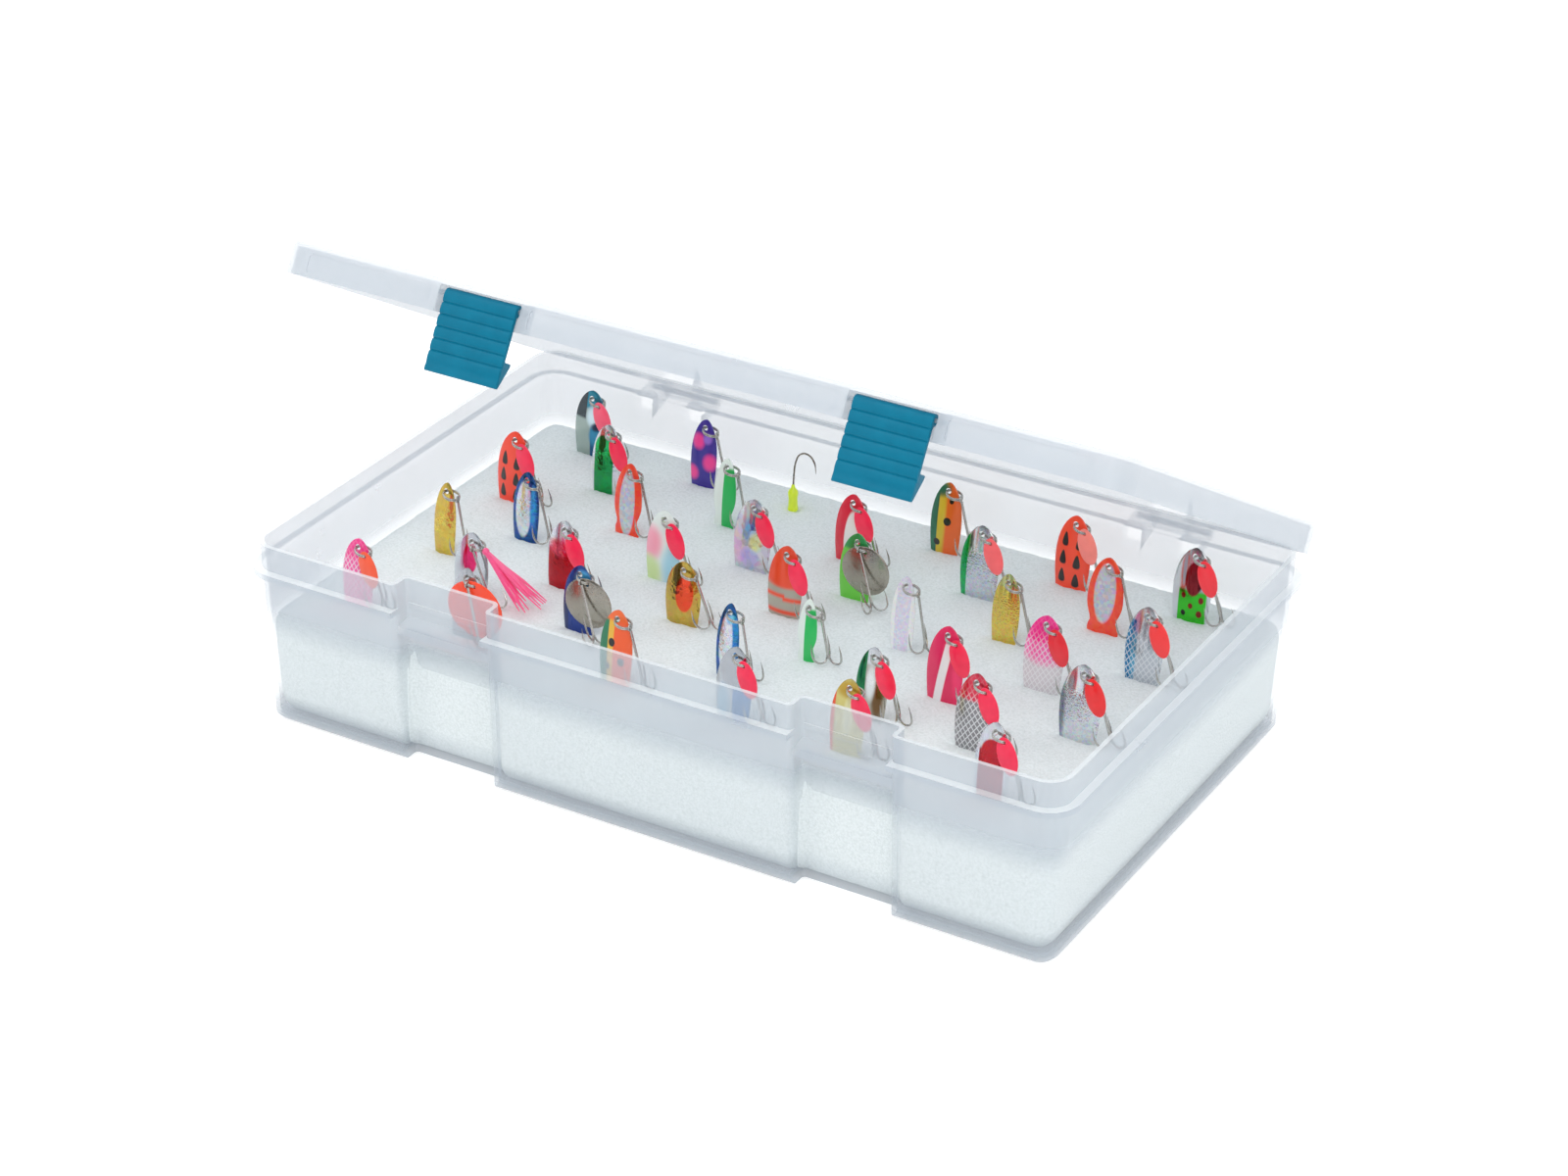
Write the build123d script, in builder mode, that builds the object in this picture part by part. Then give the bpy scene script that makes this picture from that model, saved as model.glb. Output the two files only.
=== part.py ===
from build123d import *
from math import cos, radians, sin, sqrt, tan
import os

# Lure box: a clear moulded tub with a hinged lid and two snap latches. A foam
# insert fills the lower half, and trolling spoons stand in slits in the foam.
# Millimetres. Origin under the middle of the tub, X to the right, Y to the
# back, Z up. The lid is stored open, as far as lid_open turns it.

# Tub
flange_length = 356.0
flange_depth = 215.0
flange_overhang = 3.0
flange_thickness = 2.4
flange_top = 67.4
rim_top = 77.9
wall = 1.8
floor_thickness = 2.0
draft = 2.0
corner_radius = 10.0
foot_bevel = 2.0

# Recesses in the tub's front, one below each latch, with the bar it hooks under
latch_x = 86.8
recess_width = 40.5
recess_depth = 8.0
recess_mouth_radius = 2.6
recess_root_radius = 1.6
least_radius = 0.5
catch_top = 60.5
catch_bottom = 56.2
catch_reach = 6.1

# Lid
lid_seat_gap = 0.2
lid_rim_gap = 0.5
lid_thickness = 1.8
lid_corner_radius = 12.0
lid_edge_radius = 1.6
lid_open = 30.5
pocket_width = 36.0
pocket_depth = 5.5
pocket_roof = 2.1
panel_relief = 0.5
panel_height = 7.6
panel_rise = 1.6
panel_margin = 4.0
panel_end_margin = 14.0

# Hinge
hinge_setback = 9.6
hinge_drop = 1.4
hinge_x = 114.0
hinge_width = 32.0
knuckle_radius = 3.6
tub_knuckle = 8.0
knuckle_gap = 0.4
hinge_pin_radius = 1.25
leaf_top = 9.0
bracket_height = 8.0
running_clearance = 0.05

# Latches
latch_width = 32.0
latch_length = 32.0
latch_thickness = 2.2
latch_setback = 0.4
latch_wave = 4.6
latch_wave_count = 6
latch_wave_depth = 0.5
latch_barrel_radius = 2.3
latch_pin_radius = 0.9
latch_gap = 0.3
latch_rib_width = 1.6
latch_rib_length = 6.0
hook_height = 10.3
hook_reach = 4.5
hook_tip = 1.0

# Foam insert and the staggered pattern of slits in its top
foam_top = 48.0
foam_gap = 0.3
foam_edge = 1.5
slit_pitch_x = 56.7
slit_pitch_y = 26.2
slit_first_y = 80.0
slit_clearance = 0.4
slit_depth = 13.0

# Lures: what every one of them shares
blade_thickness = 0.9
blade_embed = 12.0
blade_lean_radius = 105.0
blade_foot_share = 0.72
tail_waist_share = 0.7
tail_height = 4.5
blade_tip_radius = 2.6
hole_radius = 1.4
hole_below_tip = 3.4
ring_radius = 3.3
ring_sides = 8
ring_chord = 6.0
ring_drop_angle = 15.0
ring_wire = 0.6
ring_width = 0.8
hook_wire = 0.7
treble_bend = 3.2
treble_hang = 0.9
treble_point = 8.5
treble_lift = 1.0
treble_side = 6.0
treble_ring_turn = 5.0
treble_bearings = (-125, -5, 115)
front_treble_ring_turn = 90.0
front_treble_bearings = (-90, 30, 150)
disc_treble_front = 8.0
skirt_treble_front = 5.0
attractor_width = 8.0
attractor_length = 15.5
attractor_thickness = 0.5
attractor_hole_drop = 2.0
oval_hole_radius = 1.9
attractor_ring_turn = 45.0
oval_sides = 10
disc_size = 21.0
large_disc_size = 22.8
disc_hole_drop = 2.0
disc_ring_turn = 38.0
jig_stem_width = 3.0
jig_body_radius = 2.4
jig_body_length = 11.0
jig_hook_gap = 11.0
jig_hook_height = 15.5
skirt_reach = 22.0
skirt_back = 1.5
skirt_neck_radius = 1.0
skirt_radius = 3.2

# Name, row from the back, place in the row, how far along the row it stands from
# that place, blade width, height above the foam, and kind: what hangs beside the
# blade, or a blade with a fish tail
lures = [
    ("lure_teal_grey", 0, 0, 4.0, 15.5, 27.5, "attractor"),
    ("lure_purple_dots", 0, 1, 2.5, 12.0, 28.0, "plain"),
    ("lure_chartreuse_jig", 0, 2, -11.0, 3.0, 26.5, "jig"),
    ("lure_perch_orange", 0, 3, 2.5, 13.5, 29.0, "plain"),
    ("lure_orange_teardrops", 0, 4, 2.5, 15.0, 29.4, "attractor"),
    ("lure_green_spotted", 0, 5, -2.5, 16.0, 29.4, "attractor"),
    ("lure_green_foil", 1, 0, 0.0, 14.0, 28.6, "attractor"),
    ("lure_green_edge", 1, 1, 0.0, 10.0, 28.0, "tail"),
    ("lure_red_swoosh", 1, 2, 2.0, 14.0, 27.6, "attractor"),
    ("lure_green_holo", 1, 3, 3.0, 16.5, 29.2, "attractor"),
    ("lure_orange_fish", 1, 4, 1.0, 15.0, 30.0, "tail"),
    ("lure_orange_drops", 2, 0, 0.0, 15.5, 29.2, "attractor"),
    ("lure_orange_outline", 2, 1, -1.5, 12.5, 29.0, "tail"),
    ("lure_prism_holo", 2, 2, 0.0, 16.5, 28.6, "attractor"),
    ("lure_green_disc", 2, 3, -9.5, 14.0, 26.5, "disc"),
    ("lure_gold_glitter", 2, 4, 0.0, 11.5, 27.0, "plain"),
    ("lure_blue_silver", 2, 5, 2.0, 15.5, 29.2, "attractor"),
    ("lure_blue_edge", 3, 0, -5.0, 12.0, 28.2, "plain"),
    ("lure_glow_pastel", 3, 1, 3.0, 15.0, 28.4, "attractor"),
    ("lure_orange_nickel", 3, 2, 2.0, 15.0, 28.0, "attractor"),
    ("lure_lavender", 3, 3, -2.5, 10.0, 29.0, "plain"),
    ("lure_pink_scale", 3, 4, 1.0, 16.5, 29.4, "attractor"),
    ("lure_gold_foil", 4, 0, 2.0, 10.0, 29.0, "plain"),
    ("lure_red_foil", 4, 1, 1.5, 14.5, 27.4, "attractor"),
    ("lure_gold_oval", 4, 2, 0.0, 15.5, 25.0, "plain"),
    ("lure_green_slim", 4, 3, -1.0, 8.0, 24.4, "tail"),
    ("lure_rose_swoosh", 4, 4, 1.5, 15.0, 29.2, "attractor"),
    ("lure_chrome_holo", 4, 5, 1.0, 16.5, 29.4, "attractor"),
    ("lure_squid_skirt", 5, 0, 4.0, 15.5, 27.0, "skirt"),
    ("lure_blue_disc", 5, 1, -2.5, 14.0, 26.5, "disc"),
    ("lure_silver_slim", 5, 2, 7.5, 9.5, 28.6, "plain"),
    ("lure_green_nickel", 5, 3, 13.0, 13.0, 28.0, "attractor"),
    ("lure_fishnet", 5, 4, -1.0, 15.0, 29.4, "attractor"),
    ("lure_pink_pattern", 6, 0, -3.0, 14.0, 26.5, "attractor"),
    ("lure_orange_disc", 6, 1, -9.0, 13.0, 27.5, "large_disc"),
    ("lure_perch_green", 6, 2, 2.5, 14.0, 28.6, "plain"),
    ("lure_chrome_blue", 6, 3, -2.5, 15.0, 28.0, "attractor"),
    ("lure_yellow_edge", 6, 4, -11.0, 14.0, 28.6, "attractor"),
    ("lure_dark_red_foil", 6, 5, -8.0, 14.0, 28.6, "attractor"),
]

# Places worked out from the sizes above
rim_length = flange_length - 2 * flange_overhang
rim_depth = flange_depth - 2 * flange_overhang
lid_bottom = flange_top + lid_seat_gap
lid_underside = rim_top + lid_rim_gap
lid_top = lid_underside + lid_thickness
hinge_y = flange_depth / 2 + hinge_setback
hinge_z = flange_top - hinge_drop
hinge_axis = Axis((0, hinge_y, hinge_z), (1, 0, 0))
pocket_face = -flange_depth / 2 + pocket_depth
pocket_top = lid_top - pocket_roof
latch_front = -flange_depth / 2 + latch_setback
latch_back = latch_front + latch_thickness
latch_pivot_y = pocket_face - latch_gap - latch_barrel_radius
latch_pivot_z = pocket_top - 2 * latch_gap - latch_barrel_radius
latch_top = latch_pivot_z + latch_barrel_radius
latch_bottom = latch_top - latch_length
slit_width = blade_thickness + 2 * slit_clearance

os.makedirs("parts", exist_ok=True)


def draft_inset(height):
    """How far the tub's side stands in from the rim at a height"""
    return (rim_top - height) * tan(radians(draft))


def recess_uprights(body, half_width):
    """The upright edges along the recesses' side walls"""
    uprights = [e for e in body.edges() if e.length > 2 * recess_depth and e.center().Y < 0]
    return [e for e in uprights if abs(abs(abs(e.center().X) - latch_x) - half_width) < wall / 2]


def tub_body(inset, bottom, top, foot_edge, top_edge):
    """The tub's drafted shape between two heights, stood in by inset, with the latch recesses"""
    foot = draft_inset(bottom) + inset
    back = -rim_depth / 2 + recess_depth + inset
    mouth_radius = max(recess_mouth_radius - inset, least_radius)
    with BuildPart() as body:
        with BuildSketch(Plane.XY.offset(bottom)):
            RectangleRounded(rim_length - 2 * foot, rim_depth - 2 * foot, corner_radius - foot)
        extrude(amount=top - bottom, taper=-draft)
        if foot_edge > 0:
            chamfer(body.faces().sort_by(Axis.Z)[0].edges(), foot_edge)
        if top_edge > 0:
            chamfer(body.faces().sort_by(Axis.Z)[-1].edges(), top_edge)
        # Each recess is straight sided, and its back leans with the tub's front
        for x in (-latch_x, latch_x):
            with BuildSketch(Plane.YZ.offset(x)):
                with BuildLine():
                    Polyline(
                        (-flange_depth, bottom),
                        (back + draft_inset(bottom), bottom),
                        (back + draft_inset(top), top),
                        (-flange_depth, top),
                        close=True,
                    )
                make_face()
            extrude(amount=recess_width / 2 + inset, both=True, mode=Mode.SUBTRACT)
        # Round the recesses' upright corners
        half = recess_width / 2 + inset
        middle = -rim_depth / 2 + inset + recess_depth * 0.6
        roots = [e for e in recess_uprights(body, half) if e.center().Y > middle]
        fillet(roots, recess_root_radius + inset)
        mouths = [e for e in recess_uprights(body, half) if e.center().Y < middle]
        fillet(mouths, mouth_radius)
    return body.part


def save(piece, name):
    """Name a finished piece and write it"""
    piece.label = name
    export_step(piece, "parts/" + name + ".step")


def opened(piece):
    """A piece of the lid, turned from closed to where the lid stands"""
    return piece.rotate(hinge_axis, -lid_open)


def hinge_stations():
    """Where the two hinges are along the back"""
    return [-hinge_x, hinge_x]


# Tub
with BuildPart() as tub:
    add(tub_body(0, 0, rim_top, foot_bevel, 0))
    # The flange that the lid's skirt lands on is cut away at the latches and hinges
    with BuildSketch(Plane.XY.offset(flange_top - flange_thickness)):
        RectangleRounded(flange_length, flange_depth, corner_radius + flange_overhang)
        with Locations((-latch_x, -flange_depth / 2), (latch_x, -flange_depth / 2)):
            Rectangle(recess_width, 2 * (recess_depth + flange_overhang), mode=Mode.SUBTRACT)
        with Locations(*[(x, flange_depth / 2) for x in hinge_stations()]):
            Rectangle(hinge_width, 2 * flange_overhang, mode=Mode.SUBTRACT)
    extrude(amount=flange_thickness)
    # The bar that each latch hooks under, with a sloping top for the latch to ride over
    recess_face = -rim_depth / 2 + recess_depth
    for x in (-latch_x, latch_x):
        with BuildSketch(Plane.YZ.offset(x)):
            with BuildLine():
                Polyline(
                    (recess_face + wall, catch_top + 1.0),
                    (recess_face - catch_reach, catch_top - 1.0),
                    (recess_face - catch_reach, catch_bottom),
                    (recess_face + wall, catch_bottom),
                    close=True,
                )
            make_face()
        extrude(amount=(recess_width + wall) / 2, both=True)
    # Hinge knuckles stand on brackets off the back wall
    back_wall = rim_depth / 2 - draft_inset(hinge_z - bracket_height)
    for x in hinge_stations():
        for side in (-1, 1):
            middle = x + side * (hinge_width - tub_knuckle) / 2
            with BuildSketch(Plane.YZ.offset(middle)):
                with Locations((hinge_y, hinge_z)):
                    Circle(knuckle_radius)
                with Locations((back_wall - wall / 2, hinge_z - bracket_height / 2)):
                    Rectangle(wall, bracket_height)
                make_hull()
                with Locations((hinge_y, hinge_z)):
                    Circle(hinge_pin_radius + running_clearance, mode=Mode.SUBTRACT)
            extrude(amount=tub_knuckle / 2, both=True)
    add(tub_body(wall, floor_thickness, rim_top, 0, 0), mode=Mode.SUBTRACT)
save(tub.part, "tub")

# Lid, drawn closed
lid_inside_length = flange_length - 2 * wall
lid_inside_depth = flange_depth - 2 * wall
lid_height = lid_top - lid_bottom
with BuildPart() as lid:
    with BuildSketch(Plane.XY.offset(lid_bottom)):
        RectangleRounded(flange_length, flange_depth, lid_corner_radius)
    extrude(amount=lid_height)
    fillet(lid.faces().sort_by(Axis.Z)[-1].edges(), lid_edge_radius)
    # Hinge leaves reach back from the skirt to the middle knuckles
    for x in hinge_stations():
        with BuildSketch(Plane.YZ.offset(x)):
            with Locations((hinge_y, hinge_z)):
                Circle(knuckle_radius)
            with Locations((flange_depth / 2 - wall / 2, lid_bottom + leaf_top / 2 + 1.0)):
                Rectangle(wall, leaf_top)
            make_hull()
            with Locations((hinge_y, hinge_z)):
                Circle(hinge_pin_radius + running_clearance, mode=Mode.SUBTRACT)
        extrude(amount=hinge_width / 2 - tub_knuckle - knuckle_gap, both=True)
    # A pocket in the front skirt for each latch
    with BuildSketch(Plane.XY.offset(lid_bottom)):
        with Locations((-latch_x, -flange_depth / 2), (latch_x, -flange_depth / 2)):
            Rectangle(pocket_width, 2 * pocket_depth)
    extrude(amount=pocket_top - lid_bottom, mode=Mode.SUBTRACT)
    with BuildSketch(Plane.XY.offset(lid_bottom)):
        RectangleRounded(lid_inside_length, lid_inside_depth, lid_corner_radius - wall)
        with Locations((-latch_x, -flange_depth / 2), (latch_x, -flange_depth / 2)):
            Rectangle(pocket_width + 2 * wall, 2 * (pocket_depth + wall), mode=Mode.SUBTRACT)
    extrude(amount=lid_underside - lid_bottom, mode=Mode.SUBTRACT)
    # Shallow panels on the front skirt, beside and between the latches
    inner_edge = latch_x - pocket_width / 2 - panel_margin
    outer_edge = latch_x + pocket_width / 2 + panel_margin
    end_edge = flange_length / 2 - panel_end_margin
    panel_middle = lid_bottom + panel_rise + panel_height / 2
    with BuildSketch(Plane.XZ.offset(flange_depth / 2)):
        with Locations((0, panel_middle)):
            RectangleRounded(2 * inner_edge, panel_height, 1.5)
        for side in (-1, 1):
            with Locations((side * (outer_edge + end_edge) / 2, panel_middle)):
                RectangleRounded(end_edge - outer_edge, panel_height, 1.5)
    extrude(amount=-panel_relief, mode=Mode.SUBTRACT)
    # Holes in the pockets' side walls for the latch pins
    for x in (-latch_x, latch_x):
        with BuildSketch(Plane.YZ.offset(x)):
            with Locations((latch_pivot_y, latch_pivot_z)):
                Circle(latch_pin_radius + running_clearance / 2)
        extrude(amount=pocket_width / 2 + wall, both=True, mode=Mode.SUBTRACT)
save(opened(lid.part), "lid")

# Hinge pins run through all three knuckles of each hinge
with BuildPart() as hinge_pins:
    for x in hinge_stations():
        with BuildSketch(Plane.YZ.offset(x)):
            with Locations((hinge_y, hinge_z)):
                Circle(hinge_pin_radius)
        extrude(amount=hinge_width / 2, both=True)
save(hinge_pins.part, "hinge_pins")


def latch(middle):
    """A latch, drawn closed: waved plate, barrel at the top, hook at the back of its foot"""
    with BuildPart() as piece:
        wave_top = latch_top - latch_wave / 4
        wave_end = wave_top - latch_wave_count * latch_wave
        with BuildSketch(Plane.YZ.offset(middle)):
            with BuildLine():
                for wave in range(latch_wave_count):
                    upper = wave_top - wave * latch_wave
                    ThreePointArc(
                        (latch_front + latch_wave_depth, upper),
                        (latch_front, upper - latch_wave / 2),
                        (latch_front + latch_wave_depth, upper - latch_wave),
                    )
                Polyline(
                    (latch_front + latch_wave_depth, wave_end),
                    (latch_front + latch_wave_depth, latch_bottom),
                    (latch_back + hook_reach, latch_bottom + hook_height - hook_tip),
                    (latch_back + hook_reach, latch_bottom + hook_height),
                    (latch_back, latch_bottom + hook_height),
                    (latch_back, latch_pivot_z),
                    (latch_front + latch_wave_depth, wave_top),
                )
            make_face()
            with Locations((latch_pivot_y, latch_pivot_z)):
                Circle(latch_barrel_radius)
        extrude(amount=latch_width / 2, both=True)
        # Stiffening ribs down the back of the plate keep it off the pocket's wall
        rib_depth = pocket_face - latch_gap - latch_back
        rib_middle = latch_back + rib_depth / 2
        for side in (-1, 1):
            with BuildSketch(Plane.XZ.offset(-rib_middle)):
                with Locations((
                    middle + side * (latch_width - latch_rib_width) / 2,
                    latch_pivot_z - latch_rib_length / 2,
                )):
                    Rectangle(latch_rib_width, latch_rib_length)
            extrude(amount=rib_depth / 2, both=True)
        with BuildSketch(Plane.YZ.offset(middle)):
            with Locations((latch_pivot_y, latch_pivot_z)):
                Circle(latch_pin_radius + running_clearance)
        extrude(amount=latch_width / 2, both=True, mode=Mode.SUBTRACT)
    return piece.part


save(opened(latch(-latch_x)), "latch_left")
save(opened(latch(latch_x)), "latch_right")

# Latch pins, held in the pockets' side walls
with BuildPart() as latch_pins:
    for x in (-latch_x, latch_x):
        with BuildSketch(Plane.YZ.offset(x)):
            with Locations((latch_pivot_y, latch_pivot_z)):
                Circle(latch_pin_radius)
        extrude(amount=pocket_width / 2 + wall, both=True)
save(opened(latch_pins.part), "latch_pins")


def slit_place(row, place, shift):
    """Where a slit is: rows of six and rows of five, each half a pitch across from the next"""
    count = 6 - row % 2
    x = (place - (count - 1) / 2) * slit_pitch_x + shift
    y = slit_first_y - row * slit_pitch_y
    return x, y


# Foam insert, with a slit for each lure
with BuildPart() as foam_insert:
    add(tub_body(wall + foam_gap, floor_thickness, foam_top, 0, foam_edge))
    for name, row, place, shift, width, height, kind in lures:
        x, y = slit_place(row, place, shift)
        with BuildSketch(Plane.XY.offset(foam_top)):
            with Locations((x, y)):
                Rectangle(width + 2 * slit_clearance, slit_width)
        extrude(amount=-slit_depth, mode=Mode.SUBTRACT)
save(foam_insert.part, "foam_insert")


def lean(height):
    """How far back a blade has curved at a height above the foam"""
    return blade_lean_radius - sqrt(blade_lean_radius**2 - height**2)


def make_blade(width, height, kind):
    """A spoon: upright in its slit, curving back above the foam, rounded at its tip"""
    above_foam = [(width * 0.44, 0)]
    if kind == "tail":
        above_foam = [(width * 0.5, 0), (width * tail_waist_share / 2, tail_height)]
    side = [
        (width * blade_foot_share / 2, -blade_embed),
        *above_foam,
        (width * 0.5, height * 0.4),
        (width * 0.42, height * 0.67),
        (blade_tip_radius, height - blade_tip_radius * 0.9),
        (blade_tip_radius * 0.5, height),
    ]
    levels = [0, height * 0.5, height]
    back = blade_thickness / 2
    with BuildPart() as blade:
        with BuildSketch(Plane.YZ):
            with BuildLine():
                Polyline(
                    (-back, -blade_embed),
                    *[(lean(level) - back, level) for level in levels],
                    *[(lean(level) + back, level) for level in reversed(levels)],
                    (back, -blade_embed),
                    close=True,
                )
            make_face()
        extrude(amount=width / 2, both=True)
        with BuildSketch(Plane.XZ):
            with BuildLine():
                Polyline(*side, *[(-x, z) for x, z in reversed(side)], close=True)
            make_face()
            with Locations((0, height - hole_below_tip)):
                RegularPolygon(hole_radius * 1.1, 4, rotation=45, mode=Mode.SUBTRACT)
        extrude(amount=height, both=True, mode=Mode.INTERSECT)
    return blade.part


def ring_point(height, turn):
    """A point on the split ring, turned from the right towards the front, and its plane"""
    drop = radians(ring_drop_angle)
    along = Vector(cos(drop), 0, -sin(drop))
    hole = Vector(0, lean(height - hole_below_tip), height - hole_below_tip)
    bulge = sqrt(ring_radius**2 - (ring_chord / 2) ** 2)
    centre = hole + along * (ring_chord / 2) - Vector(0, bulge, 0)
    angle = radians(turn)
    point = centre + (along * cos(angle) - Vector(0, sin(angle), 0)) * ring_radius
    return centre, along, point


def make_wire(points):
    """A square wire along straight runs"""
    with BuildPart() as wire:
        with BuildLine() as path:
            Polyline(*points)
        with BuildSketch(Plane(origin=points[0], z_dir=points[1] - points[0])):
            Rectangle(hook_wire, hook_wire)
        sweep(path=path.wires()[0], transition=Transition.RIGHT)
    return wire.part


def make_ring(height):
    """The split ring through the hole in the blade's tip"""
    centre, along, point = ring_point(height, 0)
    normal = along.cross(Vector(0, 1, 0))
    with BuildPart() as ring:
        with BuildSketch(Plane(origin=centre, x_dir=along, z_dir=normal)):
            RegularPolygon(ring_radius + ring_wire / 2, ring_sides)
            RegularPolygon(ring_radius - ring_wire / 2, ring_sides, mode=Mode.SUBTRACT)
        extrude(amount=ring_width / 2, both=True)
    return ring.part


def make_treble(width, height, front):
    """A treble hook: its shank leans out from under the ring, beside the blade or in front"""
    turn = front_treble_ring_turn if front > 0 else treble_ring_turn
    bearings = front_treble_bearings if front > 0 else treble_bearings
    centre, along, hang = ring_point(height, turn)
    foot = Vector(width / 2 + treble_side, -front, treble_lift)
    up = (hang - foot).normalized()
    with BuildPart() as treble:
        shank_foot = foot + up * treble_bend
        add(make_wire([hang - up * treble_hang, shank_foot]))
        for bearing in bearings:
            out = Vector(cos(radians(bearing)), sin(radians(bearing)), 0)
            add(make_wire([
                shank_foot + up * hook_wire,
                foot + out * treble_bend,
                foot + out * (treble_bend * 2) + up * treble_point,
            ]))
    return treble.part


def make_oval(height, length, breadth, hole_drop, ring_turn):
    """A flat oval plate, with flats for its curve, hung by its hole on the ring"""
    centre, along, point = ring_point(height, ring_turn)
    turns = [radians(360 * side / oval_sides) for side in range(oval_sides)]
    middle = hole_drop - length / 2
    with BuildPart() as oval:
        with BuildSketch(Plane(origin=point, z_dir=(0, -1, 0), x_dir=(1, 0, 0))):
            with BuildLine():
                Polyline(
                    *[(breadth / 2 * sin(turn), middle + length / 2 * cos(turn)) for turn in turns],
                    close=True,
                )
            make_face()
            RegularPolygon(oval_hole_radius, 4, rotation=45, mode=Mode.SUBTRACT)
        extrude(amount=attractor_thickness / 2, both=True)
    return oval.part


def make_skirt(height):
    """A bunch of soft strands, as one closed cone from the ring down to the foam"""
    centre, along, neck = ring_point(height, 0)
    start = neck + Vector(ring_width, 0, -ring_width)
    end = Vector(start.X + skirt_reach, start.Y + skirt_back, skirt_radius)
    with BuildPart() as skirt:
        with BuildSketch(Plane(origin=start, z_dir=end - start)):
            RegularPolygon(skirt_neck_radius, 8)
        with BuildSketch(Plane(origin=end, z_dir=end - start)):
            RegularPolygon(skirt_radius, 8)
        loft()
    return skirt.part


def make_jig():
    """A jig: a moulded body on a flat stem, with a single hook out of its top"""
    with BuildPart() as jig:
        with BuildSketch(Plane.XY.offset(-blade_embed)):
            Rectangle(jig_stem_width, blade_thickness)
        extrude(amount=blade_embed)
        with BuildSketch(Plane.XY):
            RegularPolygon(jig_body_radius, 8)
        with BuildSketch(Plane.XY.offset(jig_body_length)):
            RegularPolygon(jig_body_radius * 0.5, 8)
        loft()
        add(make_wire([
            Vector(0, 0, jig_body_length - 1.0),
            Vector(jig_hook_gap * 0.05, 0, jig_body_length + jig_hook_height * 0.5),
            Vector(jig_hook_gap * 0.25, 0, jig_body_length + jig_hook_height * 0.9),
            Vector(jig_hook_gap * 0.6, 0, jig_body_length + jig_hook_height),
            Vector(jig_hook_gap * 0.9, 0, jig_body_length + jig_hook_height * 0.8),
            Vector(jig_hook_gap, 0, jig_body_length + jig_hook_height * 0.4),
        ]))
    return jig.part


treble_fronts = {"disc": disc_treble_front, "large_disc": disc_treble_front, "skirt": skirt_treble_front}
for name, row, place, shift, width, height, kind in lures:
    if kind == "jig":
        pieces = [make_jig()]
    else:
        front = treble_fronts.get(kind, 0)
        pieces = [make_blade(width, height, kind), make_ring(height), make_treble(width, height, front)]
    if kind == "attractor":
        pieces.append(make_oval(
            height, attractor_length, attractor_width, attractor_hole_drop, attractor_ring_turn
        ))
    if kind == "disc":
        pieces.append(make_oval(height, disc_size, disc_size, disc_hole_drop, disc_ring_turn))
    if kind == "large_disc":
        pieces.append(make_oval(
            height, large_disc_size, large_disc_size, disc_hole_drop, disc_ring_turn
        ))
    if kind == "skirt":
        pieces.append(make_skirt(height))
    x, y = slit_place(row, place, shift)
    slot = Location((x, y, foam_top))
    solids = [solid for piece in pieces for solid in piece.solids()]
    whole = Compound(children=[solid.moved(slot) for solid in solids])
    save(whole, name)
    print(name, len(solids))
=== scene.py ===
"""Lure box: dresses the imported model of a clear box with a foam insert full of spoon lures."""

import math
import random

import bpy
from mathutils import Euler, Matrix, Vector


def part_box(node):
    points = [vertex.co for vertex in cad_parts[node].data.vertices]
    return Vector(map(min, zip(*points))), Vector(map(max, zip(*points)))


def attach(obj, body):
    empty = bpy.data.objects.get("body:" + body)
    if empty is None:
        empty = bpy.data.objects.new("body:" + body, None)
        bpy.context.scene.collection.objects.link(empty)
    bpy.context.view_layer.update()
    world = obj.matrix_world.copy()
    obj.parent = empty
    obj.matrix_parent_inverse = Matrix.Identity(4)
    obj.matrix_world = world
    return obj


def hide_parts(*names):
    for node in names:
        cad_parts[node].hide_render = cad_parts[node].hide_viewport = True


bl_info = {
    "name": "Lure box",
    "version": (1, 0, 0),
    "blender": (4, 5, 0),
    "location": "3D View > Sidebar > Lure box",
    "description": "A clear hinged box with spoon lures standing in a foam insert",
    "category": "Object",
}

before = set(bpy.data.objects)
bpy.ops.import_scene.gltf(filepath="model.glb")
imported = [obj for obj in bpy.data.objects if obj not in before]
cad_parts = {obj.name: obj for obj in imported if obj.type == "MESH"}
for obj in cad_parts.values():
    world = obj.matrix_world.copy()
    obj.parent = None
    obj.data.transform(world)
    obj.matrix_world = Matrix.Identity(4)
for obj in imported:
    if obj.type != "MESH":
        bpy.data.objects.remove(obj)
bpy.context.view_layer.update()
MM = 0.001

# Where the tub's rim and flange lie, with the painted highlight on their tops, and its two hinges, in
# metres
RIM_BAND_Z = 0.0722
HINGE_X = 0.114

# Millimetres that the pieces of a lure share
BLADE_IN_FOAM = 12.0
HOLE_BELOW_TIP = 3.4
RING_RADIUS = 3.3
RING_HALF_CHORD = 3.0
TAG_HOLE_BELOW_TOP = 2.0
RING_SLOPE = math.radians(15)

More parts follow.
